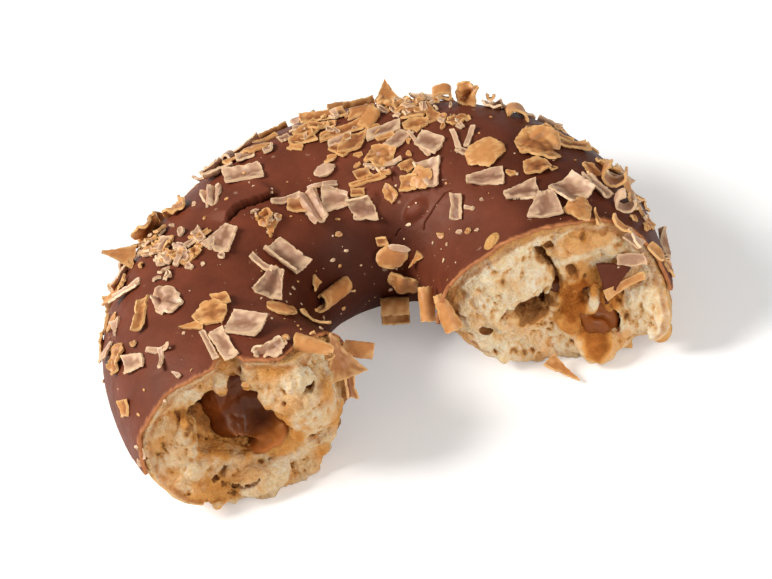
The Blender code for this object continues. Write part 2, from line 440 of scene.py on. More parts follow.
# %% Caramel finish
def make_caramel():
    finish, tree, shader = new_finish("caramel")
    thin = mottled(tree, (0.60, 0.21, 0.045), (0.36, 0.09, 0.015), 420, 2.4)
    dark_tone_and_painted_shade = mottled(tree, (0.19, 0.040, 0.006), (0.085, 0.017, 0.003), 300, 2.4)
    feed(tree, shader.inputs["Base Color"], mix_colours(tree, read_attribute(tree, "thin"), dark_tone_and_painted_shade, thin))
    set_values(shader, {"Roughness": 0.18, "Specular IOR Level": 0.22, "Specular Tint": (1.0, 0.82, 0.6, 1)})
    set_values(shader, {"Coat Weight": 0.16, "Coat Roughness": 0.06})
    let_light_in(shader, 0.2, (1.0, 0.35, 0.08), 1.5)
    raise_grain(tree, shader, 700, 0.0, 0.25)
    return finish


CARAMEL = make_caramel()


# %% [markdown]
# ### Shavings
#
# Two kinds of chocolate are shaved over the coat: a golden caramelised one and a pale milky one. Every
# shaving has its own "tint". Its torn rim, marked by "edge", is lighter than its face: partly the lighter
# broken chocolate, partly a painted highlight. The middle of a trough, marked by "hollow", is painted darker:
# that is painted shade.

# %% Shaving finishes
def make_shaving_finish(name, light, dark, rim):
    finish, tree, shader = new_finish(name)
    face = mix_colours(tree, read_attribute(tree, "tint"), dark, light)
    face = multiply_colours(tree, face, mottled(tree, (1.0, 1.0, 1.0), (0.80, 0.74, 0.68), 1300, 2.0))
    # Painted shade in the middle of a trough
    shaded = multiply_colours(tree, face, (0.56, 0.46, 0.40))
    face = mix_colours(tree, read_attribute(tree, "hollow"), face, shaded)
    # The rim colour is partly the lighter broken chocolate, partly a painted highlight
    feed(tree, shader.inputs["Base Color"], mix_colours(tree, read_attribute(tree, "edge"), face, rim))
    set_values(shader, {"Roughness": 0.42, "Specular IOR Level": 0.35})
    let_light_in(shader, 0.15, (1.0, 0.6, 0.3), 0.6)
    raise_grain(tree, shader, 1500, 0.2, 0.03)
    return finish


GOLDEN = make_shaving_finish(
    "golden chocolate", light=(0.66, 0.295, 0.095), dark=(0.44, 0.165, 0.05), rim=(0.78, 0.45, 0.18)
)
PALE = make_shaving_finish(
    "pale chocolate", light=(0.66, 0.41, 0.27), dark=(0.38, 0.20, 0.125), rim=(0.82, 0.57, 0.35)
)
print("finishes:", [material.name for material in (CHOCOLATE, CRUMB, CARAMEL, GOLDEN, PALE)])


# %% [markdown]
# ## Working on a piece
#
# Operators act on whatever is selected, so each helper first clears the selection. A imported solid's mesh is
# loose triangles, so a copy of it is merged before anything else is done to it.

# %% Helpers for meshes
def select_only(piece):
    bpy.ops.object.select_all(action="DESELECT")
    piece.select_set(True)
    bpy.context.view_layer.objects.active = piece


def take_new(name):
    """Names what an operator has just made."""
    piece = bpy.context.active_object
    piece.name = piece.data.name = name
    return piece


def add_piece(name, mesh):
    piece = bpy.data.objects.new(name, mesh)
    bpy.context.scene.collection.objects.link(piece)
    return piece


def add_worked(name, work):
    """Makes a piece of what was worked in memory."""
    mesh = bpy.data.meshes.new(name)
    work.to_mesh(mesh)
    work.free()
    return add_piece(name, mesh)


def apply_modifier(piece, kind, **settings):
    modifier = piece.modifiers.new(kind.lower(), kind)
    for name, value in settings.items():
        setattr(modifier, name, value)
    select_only(piece)
    bpy.ops.object.modifier_apply(modifier=modifier.name)


def copy_node(node, name):
    piece = add_piece(name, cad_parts[node].data.copy())
    select_only(piece)
    bpy.ops.object.mode_set(mode="EDIT")
    bpy.ops.mesh.select_all(action="SELECT")
    bpy.ops.mesh.remove_doubles(threshold=0.01 * MM)
    bpy.ops.object.mode_set(mode="OBJECT")
    return piece


def join(pieces, name):
    bpy.ops.object.select_all(action="DESELECT")
    for piece in pieces:
        piece.select_set(True)
    bpy.context.view_layer.objects.active = pieces[0]
    bpy.ops.object.join()
    return take_new(name)


def place_tree(piece):
    """A search tree of a piece's surface, for the nearest point on it."""
    corners = [vertex.co.copy() for vertex in piece.data.vertices]
    return BVHTree.FromPolygons(corners, [tuple(face.vertices) for face in piece.data.polygons])


def write_attribute(piece, name, values):
    attribute = piece.data.attributes.new(name, "FLOAT", "POINT")
    attribute.data.foreach_set("value", values)


def set_finish(piece, finish):
    piece.data.materials.clear()
    piece.data.materials.append(finish)
    piece.data.shade_smooth()


def report(piece):
    faces = sum(len(face.vertices) - 2 for face in piece.data.polygons)
    print(f"{piece.name}: {faces} triangles")


def rough(point, size_mm, seed):
    """Smooth noise from -1 to 1 with features of about this size."""
    return noise.noise(point / (size_mm * MM) + Vector((seed, seed * 1.7, -seed)))


# %% [markdown]
# ## The dough
#
# Crumb is a foam: gas blew thousands of bubbles in it, and teeth tore it open. So the torn faces are made
# the same way. Soft lumps are melted onto them first. Then a cloud of small eggs is laid along them and cut
# out, which leaves pores with real overhangs. A voxel remesh gives an even mesh fine enough to hold the
# pores, smoothing runs its creases together, and the hidden parts are thinned afterwards.

# %% Forms of the torn faces
CRUST_DEPTH = 1.1 * MM
BUBBLE_VOXEL, CRUMB_VOXEL, TUFT_VOXEL = 0.26 * MM, 0.28 * MM, 0.4 * MM
TUFTS, BUBBLES = 150, 48  # how many are strewn over the torn faces
# Each form is an egg: x, y, z of its middle from the ring's centre and its three half sizes in mm, and its
# tilt in degrees
LUMPS_OF_CRUMB = (
    # left face: the inner lobe stands proud, the outer one is a gentle swell, a lobe lies along the bottom
    (-15.6, -16.6, 3.4, 4.6, 4.2, 5.7, 8),
    (-35.0, -14.8, -3.0, 5.0, 3.4, 6.2, 0),
    (-25.5, -17.0, -9.4, 5.6, 3.5, 2.4, 0),
    # right face: the upper left lobe, the plug of soaked crumb, the white tuft and the right lobe
    (20.8, -3.0, 5.4, 6.2, 3.5, 6.2, 0),
    (16.2, -3.4, -3.0, 3.2, 2.2, 5.0, 0),
    (28.8, -2.8, -1.6, 3.8, 2.7, 4.2, 14),
    (30.2, -4.2, -3.4, 1.9, 2.5, 1.7, 0),
    (35.2, -4.4, -2.6, 2.0, 1.9, 3.4, 0),
    (32.4, -5.8, -1.8, 0.7, 1.7, 3.2, 16),
    (39.2, -6.0, -3.8, 3.3, 2.5, 3.8, -12),
    (34.5, -3.6, 8.4, 4.6, 1.9, 2.0, 8),
)
CUTS_IN_CRUMB = (
    # left face: the cave reaches further up and left, then seams, a notch and slits
    (-29.8, -13.8, 4.4, 4.5, 5.5, 3.4, 0),
    (-30.6, -15.5, 0.4, 2.8, 4.2, 3.4, 0),
    (-19.6, -17.6, 0.9, 2.6, 3.4, 1.5, 0),
    (-13.6, -18.8, -4.6, 4.6, 3.6, 2.0, 0),
    (-33.7, -21.2, -10.4, 0.7, 2.6, 2.0, 0),
    (-20.6, -19.4, -7.6, 2.6, 1.6, 0.6, -10),
    (-13.5, -19.9, 8.8, 1.5, 1.5, 0.5, -35),
    (-17.8, -19.8, 6.4, 0.9, 1.2, 0.7, 0),
    (-37.6, -17.2, 3.0, 1.1, 1.5, 0.8, 0),
    (-35.4, -18.6, -9.6, 2.6, 2.2, 0.7, 10),
    (-28.0, -16.0, 7.0, 2.6, 3.6, 2.6, 0),
    # the channel from the cave up to the coat
    (-25.2, -14.8, 7.0, 2.1, 4.0, 3.8, 12),
    (-24.0, -16.8, 5.4, 1.6, 3.0, 2.4, 0),
    # right face: the dark pore
    (22.4, -3.4, -1.3, 2.8, 4.8, 1.75, -8),
    (20.2, -3.6, -0.5, 1.5, 4.4, 0.95, 0),
    (24.8, -3.6, -1.4, 1.6, 4.6, 0.9, 0),
    (21.4, -5.4, -3.0, 1.2, 2.0, 0.9, 0),
    (30.4, -5.2, 4.2, 1.0, 1.2, 1.6, 0),
    (15.0, -5.4, -3.6, 1.1, 1.4, 0.8, 0),
    (33.6, -6.0, 6.4, 1.5, 1.4, 0.7, 0),
    (36.6, -7.6, -1.2, 0.9, 2.6, 2.8, 10),
)
# Cracks between the lumps, each a line of x, y, z and half width in mm
CREVICES = (
    # down the right face, and the dark pore beside its end
    ((25.6, -5.4, 10.6, 0.4), (26.4, -5.4, 8.8, 0.95), (27.1, -5.2, 6.6, 0.9), (27.7, -5.2, 4.4, 0.75)),
    ((27.7, -5.2, 4.4, 0.75), (28.1, -5.4, 2.2, 0.8), (27.3, -5.6, 0.3, 0.7), (25.8, -5.6, -1.0, 0.8)),
    ((25.6, -5.6, -1.4, 0.9), (24.2, -5.4, -1.8, 1.6), (22.4, -5.4, -1.5, 2.1), (20.6, -5.4, -0.9, 1.6)),
    ((20.6, -5.4, -0.9, 1.4), (19.0, -5.6, -0.5, 0.7), (17.6, -5.8, -1.4, 0.4)),
    ((31.6, -5.6, 6.6, 0.3), (33.4, -5.6, 7.2, 0.6), (35.6, -5.8, 7.0, 0.4)),
    # the seam below the left cave, and folds in the inner lobe
    ((-28.5, -16.9, -4.8, 0.2), (-30.5, -18.1, -6.4, 0.35), (-33.0, -19.4, -7.0, 0.25)),
    ((-12.4, -20.4, 9.4, 0.3), (-13.6, -20.6, 8.6, 0.6), (-14.8, -20.6, 8.2, 0.3)),
    ((-10.6, -19.4, -2.0, 0.4), (-13.4, -20.2, -3.8, 0.9), (-16.6, -19.6, -4.8, 0.5)),
    ((-24.6, -19.6, -8.2, 0.3), (-27.2, -20.2, -8.8, 0.5), (-29.6, -20.2, -8.4, 0.3)),
)
CREVICE_STEP, CREVICE_HALF_DEPTH = 0.35 * MM, 3.8 * MM
# Where the torn bottom edge is ragged: from x, to x and height above the ring's centre, in mm
RAGGED_EDGES = ((-38.0, -13.0, -11.2), (13.5, 40.0, -11.4))


LEFT_REACH, RIGHT_REACH = -2 * MM, 9 * MM  # how far the bites go past the ring's centre, in y


def is_torn(point):
    """Whether a point of the dough is in the part that the bites laid open."""
    reach = LEFT_REACH if point.x < RING_CENTRE.x - 5 * MM else RIGHT_REACH
    return point.y < RING_CENTRE.y + reach and ring_place(point)[2] < -CRUST_DEPTH


def torn_spots(piece, count, rng):
    """Points spread evenly over the torn faces, with the direction out of the crumb."""
    faces, weights = [], []
    for face in piece.data.polygons:
        if is_torn(face.center):
            faces.append(face)
            weights.append(face.area)
    spots = []
    for face in rng.choices(faces, weights, k=count):
        corners = [piece.data.vertices[index].co for index in face.vertices]
        shares = [rng.random() + 1e-6 for _ in corners]
        point = sum((corner * share for corner, share in zip(corners, shares)), Vector()) / sum(shares)
        spots.append((point, face.normal.copy()))
    return spots


def add_egg(work, centre, half_sizes, turn_by):
    place = Matrix.Translation(centre) @ turn_by @ Matrix.Diagonal((*half_sizes, 1))
    bmesh.ops.create_icosphere(work, subdivisions=2, radius=1, matrix=place)


def add_eggs(work, rows):
    for x, y, z, half_x, half_y, half_z, tilt in rows:
        centre = RING_CENTRE + Vector((x, y, z)) * MM
        add_egg(work, centre, Vector((half_x, half_y, half_z)) * MM, Matrix.Rotation(radians(tilt), 4, "Y"))


def add_crevices(work, lines, half_depth):
    """Eggs in a close row along each line, deep across the torn face."""
    for line in lines:
        for first, last in zip(line, line[1:]):
            start, end = Vector(first[:3]) * MM, Vector(last[:3]) * MM
            steps = max(1, round((end - start).length / CREVICE_STEP))
            for step in range(steps):
                share = step / steps
                place = RING_CENTRE + start.lerp(end, share)
                half = (first[3] + (last[3] - first[3]) * share) * (1 + 0.5 * rough(place, 0.9, 41)) * MM
                add_egg(work, place, (half, half_depth, half), Matrix.Identity(4))


def melt_together(work, name, voxel):
    """Turns overlapping eggs into one closed body."""
    piece = add_worked(name, work)
    apply_modifier(piece, "REMESH", mode="VOXEL", voxel_size=voxel)
    return piece


def combine(piece, other, operation):
    apply_modifier(piece, "BOOLEAN", operation=operation, object=other, solver="MANIFOLD")
    bpy.data.objects.remove(other)


def random_spin(rng):
    axis = Vector((rng.gauss(0, 1), rng.gauss(0, 1), rng.gauss(0, 1)))
    return Matrix.Rotation(rng.uniform(0, pi), 4, axis)


def make_bubbles(dough, count):
    rng = Random(7)
    work = bmesh.new()
    for point, outwards in torn_spots(dough, count, rng):
        size = (0.2 + 0.42 * rng.random() ** 2) * MM
        stretch = [size * rng.uniform(0.5, 2.0) for _ in range(3)]
        add_egg(work, point - outwards * size * rng.uniform(-0.5, 0.6), stretch, random_spin(rng))
    add_eggs(work, CUTS_IN_CRUMB)
    add_crevices(work, CREVICES, CREVICE_HALF_DEPTH)
    return melt_together(work, "bubbles", BUBBLE_VOXEL)


def add_ragged_edges(work, surface, rng):
    """Small lumps along the torn bottom edges, found from the front."""
    for first, last, height in RAGGED_EDGES:
        x = first
        while x < last:
            start = RING_CENTRE + Vector((x, -60, height + rng.uniform(-0.4, 1.6))) * MM
            hit = surface.ray_cast(start, Vector((0, 1, 0)))[0]
            if hit is not None:
                half = [rng.uniform(0.5, 1.2) * MM, rng.uniform(0.8, 1.7) * MM, rng.uniform(0.5, 1.0) * MM]
                add_egg(work, hit, half, random_spin(rng))
            x += rng.uniform(0.9, 2.3)


def make_tufts(dough, count):
    """Lumps of crumb that swell out of the torn faces and hang from their bottom edge."""
    rng = Random(11)
    work = bmesh.new()
    for point, outwards in torn_spots(dough, count, rng):
        size = rng.uniform(0.9, 2.2) * MM
        stretch = [size * rng.uniform(0.6, 1.5) for _ in range(3)]
        add_egg(work, point - outwards * size * rng.uniform(0.4, 0.75), stretch, random_spin(rng))
    add_ragged_edges(work, place_tree(dough), rng)
    add_eggs(work, LUMPS_OF_CRUMB)
    return melt_together(work, "tufts", TUFT_VOXEL)


dough = copy_node("dough", "torn_dough")
combine(dough, make_tufts(dough, TUFTS), "UNION")
combine(dough, make_bubbles(dough, BUBBLES), "DIFFERENCE")
apply_modifier(dough, "REMESH", mode="VOXEL", voxel_size=CRUMB_VOXEL)
apply_modifier(dough, "SMOOTH", factor=0.5, iterations=4)
report(dough)

# %% [markdown]
# The walls of the pores are still smooth. Real crumb is cells in cells: thin walls round shallow cups. A
# cell pattern at two sizes presses such cups in, and noise tears them. The crust only gets a shallow wrinkle.

# %% Roughening the crumb, and saying what is where
# Where caramel soaked the crumb: x and z from the ring's centre, half width and height in mm, strength
SOAKED = (
    (-24.6, 0.6, 6.8, 5.2, 0.75),
    (-24.8, 6.0, 2.4, 3.4, 0.7),
    (-20.6, -3.6, 3.4, 3.0, 0.5),
    (-34.0, -9.0, 5.0, 3.0, 0.5),
    (21.5, -3.2, 5.0, 2.6, 0.25),
    (33.0, 9.6, 5.0, 2.0, 0.4),
    (31.2, 3.8, 1.8, 1.9, 0.45),
    (30.6, 1.2, 1.6, 1.3, 1.0),
    (29.4, -1.8, 2.0, 2.8, 0.95),
    (29.0, -4.6, 2.4, 2.0, 0.75),
    (31.6, -6.8, 2.0, 3.2, 0.9),
    (35.0, -2.0, 1.5, 2.6, 0.8),
    (33.2, 1.6, 1.3, 1.6, 0.7),
    (33.5, -9.6, 3.6, 1.8, 0.35),
)
SOAKED_AND_SHADE_LEFT, SOAKED_RIGHT = 0.24, 0.03  # what is soaked everywhere on each torn face; the left share also stands for painted shade
FACES_END = 2  # y from the ring's centre behind which nothing torn shows, in mm


def soaked_share(point):
    """How far caramel has soaked into a torn face there, 0 to 1; on the left face the base share is partly
    painted shade.
    """
    local = (point - RING_CENTRE) / MM
    if local.y > FACES_END:
        return 0.0
    share = (SOAKED_AND_SHADE_LEFT if local.x < 0 else SOAKED_RIGHT) + 0.42 * rough(point, 4.2, 15)
    for x, z, half_x, half_z, strength in SOAKED:
        away = hypot((local.x - x) / half_x, (local.z - z) / half_z) + 0.45 * rough(point, 1.5, 5)
        share = max(share, strength * smooth_step(1.7 - away))
    return share


def cups(point, size_mm, seed):
    """0 on the walls between cells of this size, up to 1 in the middle of a cell."""
    near, next_near = noise.voronoi(point / (size_mm * MM) + Vector((seed, seed, seed)))[0][:2]
    return min(1.0, (next_near - near) * 1.6)


def browning(point, depth):
    """Shares of crust and of the brown line under the coat, at this depth below the skin in mm."""
    # The skin browned deeper where the coat broke off the right shoulder, and near the bottom
    browned = 0.7 * exp(-(((point.x - RING_CENTRE.x) / MM - 26) / 5) ** 2)
    browned *= point.z > RING_CENTRE.z + 7 * MM
    edge_of_crust = 0.05 + browned + 0.35 * rough(point, 1.1, 3)
    skin = 1 - smooth_step((depth - edge_of_crust) / 0.6)
    low = 0.45 * smooth_step((3.2 - point.z / MM) / 3)
    brown_line = 1 - smooth_step((depth - 0.75 - 0.5 * rough(point, 1.4, 19)) / 0.55)
    return max(skin, low * (0.7 + rough(point, 1.6, 8))), brown_line


def near_caramel(point, caramel_tree):
    """How far the pool at the left has soaked the crumb round it, 0 to 1."""
    near = caramel_tree.find_nearest(point, 6 * MM)[3]
    if near is None or point.x >= RING_CENTRE.x:
        return 0.0
    return 0.8 * smooth_step((3.6 - near / MM + 1.4 * rough(point, 1.7, 9)) / 3.4)


def torn_push(point):
    """How far torn crumb stands out there, in mm."""
    # Torn crumb pulls into strands that run up and down, so its cells are longer that way
    strand = Vector((point.x, point.y, 0.55 * point.z))
    pored = smooth_step(0.45 + 1.5 * rough(point, 4.5, 17))
    push = 0.8 * rough(point, 3.6, 1) + 0.34 * rough(point, 1.7, 2) + 0.3 * rough(strand, 0.8, 4)
    push -= (0.06 + 0.18 * pored) * cups(strand, 1.0, 3.3) + (0.06 + 0.16 * pored) * cups(point, 0.6, 7.7)
    return push + 0.2


def drawn_up(point, depth):
    """The skin sticks to the coat, so its rim is drawn up to it: the way it goes."""
    flat = Vector((point.x - RING_CENTRE.x, point.y - RING_CENTRE.y, 0))
    from_core = (point - RING_CENTRE - flat * (RING_RADIUS / flat.length)).normalized()
    drawn = 0.42 * (1 - smooth_step((depth - 0.35) / 0.6)) * smooth_step((point.z / MM - 5) / 2)
    return from_core * (drawn * MM)


def tear_crumb(dough, caramel_tree):
    shares = {"crust": [], "stain": [], "rind": []}
    normals = [vertex.normal.copy() for vertex in dough.data.vertices]
    front = RING_CENTRE.y + 10 * MM
    for vertex, normal in zip(dough.data.vertices, normals):
        point = vertex.co.copy()
        crust, stain, rind = 1.0, 0.0, 0.0
        if point.y <= front:
            depth = -ring_place(point)[2] / MM
            open_share = smooth_step((depth - 0.2) / 0.7)
            crust, brown_line = browning(point, depth)
            rind = 0.85 * brown_line * open_share * smooth_step((point.z / MM - 3) / 2)
            stain = max(near_caramel(point, caramel_tree), soaked_share(point)) * open_share
            wrinkle = 0.1 * rough(point, 2.2, 6)
            push = torn_push(point) * open_share + wrinkle * (1 - open_share)
            vertex.co += drawn_up(point, depth)
            vertex.co += normal * (push * MM)
            vertex.co.z = max(vertex.co.z, 0.0)
        for name, share in (("crust", crust), ("stain", stain), ("rind", rind)):
            shares[name].append(share)
    for name, values in shares.items():
        write_attribute(dough, name, values)


caramel = copy_node("caramel_filling", "caramel")
tear_crumb(dough, place_tree(caramel))


# %% [markdown]
# Pores look dark partly because little light gets in, which is painted in here as shade, and partly because
# their walls are damper and browner. "pit" measures that: how far a point lies below a smoothed copy of
# the surface. The deepest hollows are named by their places, and they and the faces deep in the cave and
# the pore are painted dark as shade too.

# %% Finding the pits, and thinning what is hidden
CAVE_STARTS, PORE_STARTS = -14.5, -4.7  # y from the ring's centre behind which a face is a cavity, in mm
PIT_DEPTH, PIT_BEGINS = 0.5, -0.09  # how deep a full pit is, and where one begins, in mm below the mean
HIDDEN_RATIO = 0.32  # share of the hidden faces that is kept
# The deepest hollows, painted dark as shade: x and z from the ring's centre, half width and height in mm,
# strength
HOLLOWS = (
    (22.6, -2.2, 2.7, 1.9, 1.5),
    (25.6, -1.6, 1.5, 0.8, 1.1),
    (26.3, 8.8, 0.9, 1.5, 1.3),
    (27.2, 6.0, 0.6, 1.5, 1.1),
    (27.9, 3.2, 0.6, 2.0, 1.2),
    (36.6, -1.0, 0.8, 2.2, 0.8),
    (-31.0, 4.4, 2.8, 3.0, 1.2),
    (-27.0, 7.6, 2.6, 1.8, 1.1),
    (-24.8, 9.0, 1.3, 1.5, 1.2),
)


def hollow_share(point):
    local = (point - RING_CENTRE) / MM
    if local.y > FACES_END:
        return 0.0
    share, uneven = 0.0, 0.5 * rough(point, 1.2, 25)
    for x, z, half_x, half_z, strength in HOLLOWS:
        away = hypot((local.x - x) / half_x, (local.z - z) / half_z) + uneven
        share = max(share, strength * smooth_step(1.55 - away))
    return min(share, 1.0)


def write_pits(dough):
    smoothed = add_piece("smoothed", dough.data.copy())
    apply_modifier(smoothed, "SMOOTH", factor=0.5, iterations=60)
    pits = []
    for vertex, mean in zip(dough.data.vertices, smoothed.data.vertices):
        below = (mean.co - vertex.co).dot(vertex.normal) / MM
        local = (vertex.co - RING_CENTRE) / MM
        # Faces deep in the cave and the pore count as pits: painted shade
        cavity = smooth_step((local.y - (CAVE_STARTS if local.x < 0 else PORE_STARTS)) / 2.4)
        pore = smooth_step((below - PIT_BEGINS) / PIT_DEPTH)
        pits.append(max(pore, 0.85 * cavity, hollow_share(vertex.co) * (0.85 + 0.15 * pore)))
    bpy.data.objects.remove(smoothed)
    write_attribute(dough, "pit", pits)


def thin_hidden(dough, ratio):
    hidden = dough.vertex_groups.new(name="hidden")
    plain = [vertex.index for vertex in dough.data.vertices if not is_torn(vertex.co)]
    hidden.add(plain, 1.0, "REPLACE")
    apply_modifier(dough, "DECIMATE", ratio=ratio, vertex_group="hidden", vertex_group_factor=1.0)


write_pits(dough)
thin_hidden(dough, HIDDEN_RATIO)
set_finish(dough, CRUMB)
report(dough)

# %% [markdown]
# ## The caramel
#
# The solid already runs through the ring and pools behind each bite. Where it shows it is wet and slumped.
# So the left pool first gets its sides, its hollow is cut out, and then a bead along its lip and the flat
# piece on the right face are laid on. All are eggs. A voxel remesh fuses them, and smoothing lets the
# surface run.

# %% Caramel that shows
CARAMEL_VOXEL = 0.42 * MM
# Eggs as in the crumb: x, y, z of the middle and three half sizes in mm, and the tilt in degrees
CARAMEL_DROPS = (
    # the lip of the left pool
    (-25.6, -14.4, -5.9, 1.2, 0.9, 0.8, 0),
    (-24.2, -15.0, -5.8, 1.3, 1.0, 0.9, 0),
    (-22.8, -15.4, -5.4, 1.3, 1.1, 1.0, 0),
    (-21.4, -15.6, -5.0, 1.3, 1.1, 1.1, 0),
    (-20.1, -15.4, -4.3, 1.2, 1.1, 1.2, 0),
    (-19.1, -15.0, -3.3, 1.1, 1.1, 1.3, 0),
    (-18.6, -14.2, -2.0, 1.0, 1.0, 1.3, 0),
    (-22.5, -13.2, -5.4, 3.0, 2.0, 1.4, 0),
    # the flat piece and two smears on the right face
    (31.9, -7.6, -6.8, 2.3, 1.0, 2.7, -22),
    (30.4, -6.2, -4.4, 1.2, 0.9, 1.7, 20),
    (30.8, -4.6, 1.2, 0.9, 1.0, 0.7, 10),
    (29.6, -4.5, -1.0, 0.7, 1.0, 1.1, 20),
)
# The sides of the pool, and the hollow in it
CARAMEL_SIDES = (
    (-27.6, -10.8, -2.6, 3.2, 2.8, 3.0, 0),
    (-20.0, -11.4, -1.2, 2.6, 2.8, 3.6, 0),
    (-24.4, -9.6, 1.6, 6.8, 3.2, 6.6, 0),
)
CARAMEL_HOLLOWS = (
    (-24.0, -17.0, 1.4, 5.8, 6.4, 5.6, 0),
    (-24.0, -17.4, 5.2, 4.6, 6.4, 4.6, 0),
    (25.0, -4.5, -1.5, 2.2, 3.6, 2.2, 0),
)
# y from the ring's centre in front of which the caramel thins, in mm, and how thin it gets there
LEFT_THIN, RIGHT_THIN = (-12.8, 1), (-3.0, 0.3)


def make_caramel_piece(caramel):
    steps = ((CARAMEL_SIDES, "UNION"), (CARAMEL_HOLLOWS, "DIFFERENCE"), (CARAMEL_DROPS, "UNION"))
    for rows, operation in steps:
        work = bmesh.new()
        add_eggs(work, rows)
        combine(caramel, melt_together(work, "drops", CARAMEL_VOXEL), operation)
    apply_modifier(caramel, "REMESH", mode="VOXEL", voxel_size=CARAMEL_VOXEL)
    apply_modifier(caramel, "SMOOTH", factor=0.5, iterations=5)
    thin = []
    for vertex in caramel.data.vertices:
        local = (vertex.co - RING_CENTRE) / MM
        front, share = LEFT_THIN if local.x < 0 else RIGHT_THIN
        thin.append(smooth_step((front - local.y) / 3.2) * share)
        swell = 0.35 * rough(vertex.co, 2.6, 11) + 0.1 * rough(vertex.co, 1.0, 12)
        vertex.co += vertex.normal * (swell * MM)
    write_attribute(caramel, "thin", thin)
    return caramel


caramel = make_caramel_piece(caramel)
set_finish(caramel, CARAMEL)
report(caramel)

# %% [markdown]
# ## The chocolate coat
#
# The coat is a thin shell that follows the ring. A grid is bent round it by the two angles, given the
# gentle swells and the broken ledge that setting chocolate has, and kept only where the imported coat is,
# so the bites end it in the same places. Its edge is pulled onto the exact line of the break, made
# slightly ragged, and only then does the sheet get its thickness.

# %% Relief of the coat
COAT_START, COAT_END = radians(-36), radians(230)
COAT_LOW, COAT_HIGH = radians(-26), radians(224)
COAT_CELLS_ROUND, COAT_CELLS_ACROSS = 400, 150
SHELL = 0.55 * MM
INNER_RATIO = 0.62  # share of the inner face that is kept
# The ledge where the first coat broke: turn and around in degrees along its line
LEDGE = ((144, 95), (141, 96), (135, 96), (131, 99), (127, 102), (122, 104), (118, 108))
# Hairline cracks beside the big lump, as turn and around in degrees along each
CRACKS = (
    ((34, 117), (36.5, 120), (38, 127), (39, 133), (41, 139), (40, 143)),
    ((59, 146), (61, 148), (62.5, 150.5)),
    ((72, 112), (69, 115), (67, 119)),
)
CRACK_DEPTH, CRACK_HALF_WIDTH = 0.25, 0.13
LEDGE_HEIGHT, LEDGE_SLOPE, LEDGE_GROOVE, LEDGE_GROOVE_WIDTH = 1.2, 5.0, 0.8, 0.32
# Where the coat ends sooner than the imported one: from turn, to turn, its last around in degrees, and its side
TRIMS = ((-50, -4, 178, 1), (196, 235, -10, -1), (-30, 2, -11, -1))
# Lumps under the skin: turn and around, half length and half width in mm, spin, and height in mm
LUMPS = (
    (50, 134, 2.2, 1.35, 50, 0.85),
    (78, 129, 1.1, 0.8, 40, 0.7),
    (104, 100, 4.5, 2.5, 10, -0.25),
    (165, 100, 6.0, 4.0, 70, 0.18),
    (205, 62, 5.0, 3.0, 20, -0.15),
    (20, 110, 5.0, 4.0, 30, 0.15),
)


def around_mm(first, second):
    """How far apart two angles of the section are, in mm along the coat."""
    return angle_between(first, second) * (DOUGH_HALF_WIDTH + COAT_SKIN) / MM


def way_from(turn, around, place):
    """The way to here from a place given in degrees, along the ring and across the coat, in mm."""
    radius = (RING_RADIUS + DOUGH_HALF_WIDTH * cos(around)) / MM
    return angle_between(turn, radians(place[0])) * radius, around_mm(around, radians(place[1]))


def ledge_away(turn, around):
    """How far the point lies past the ledge's line, in mm, and how much of the ledge is there, 0 to 1."""
    line = None
    for (turn_a, around_a), (turn_b, around_b) in zip(LEDGE, LEDGE[1:]):
        low, high = radians(turn_b), radians(turn_a)
        if low <= turn <= high:
            share = (turn - low) / (high - low)
            line = radians(around_b) + (radians(around_a) - radians(around_b)) * share
    if line is None:
        return 0.0, 0.0
    first, last = radians(LEDGE[-1][0]), radians(LEDGE[0][0])
    ends = smooth_step((turn - first) / radians(5)) * smooth_step((last - turn) / radians(5))
    uneven = 0.5 * noise.noise(Vector((degrees(turn) * 0.3, 3.3, 1.1)))
    uneven += 0.2 * noise.noise(Vector((degrees(turn), 1.3, 2.1)))
    return around_mm(around, line) + uneven, ends


def ledge_relief(turn, around):
    away, ends = ledge_away(turn, around)
    groove = LEDGE_GROOVE * exp(-((away - 0.2) / LEDGE_GROOVE_WIDTH) ** 2)
    if away > 0:
        return -groove * ends
    return (LEDGE_HEIGHT * exp(away / LEDGE_SLOPE) * smooth_step(-away / 0.28) - groove) * ends


def crack_relief(turn, around):
    """Depth of the hairline cracks there, in mm under 0."""
    depth = 0.0
    for line in CRACKS:
        for first, last in zip(line, line[1:]):
            start, end = Vector(way_from(turn, around, first)), Vector(way_from(turn, around, last))
            if min(start.length, end.length) > 4:
                continue
            line_along = start - end
            share = max(0.0, min(1.0, start.dot(line_along) / line_along.length_squared))
            away = start.lerp(end, share).length
            depth = max(depth, CRACK_DEPTH * exp(-((away / CRACK_HALF_WIDTH) ** 2)))
    return -depth


def lump_relief(turn, around):
    total = 0.0
    for lump_turn, lump_around, half_long, half_wide, spin, height in LUMPS:
        along, across = way_from(turn, around, (lump_turn, lump_around))
        if abs(along) > 12 or abs(across) > 12:
            continue
        c, s = cos(radians(spin)), sin(radians(spin))
        first, second = (along * c + across * s) / half_long, (across * c - along * s) / half_wide
        steepness = 2.5 if half_long < 3 else 1.2
        total += height * exp(-((first**2 + second**2) ** steepness))
    return total


def coat_relief(turn, around, point):
    """Height of the coat's swells above its even thickness, in mm."""
    swells = 0.16 * rough(point, 7, 21) + 0.07 * rough(point, 2.8, 22) + 0.02 * rough(point, 1.1, 23)
    return swells + ledge_relief(turn, around) + lump_relief(turn, around) + crack_relief(turn, around)


def coat_point(turn, around):
    relief = coat_relief(turn, around, ring_point(turn, around, COAT_SKIN))
    return ring_point(turn, around, COAT_SKIN + relief * MM)


# %% Sheet of chocolate
def needs_detail(point, lines, reach_mm):
    """Whether a point of the coat is near one of these lines, where the mesh has to be finer."""
    turn, around, _ = ring_place(point)
    return any(hypot(*way_from(turn, around, place)) < reach_mm for line in lines for place in line)


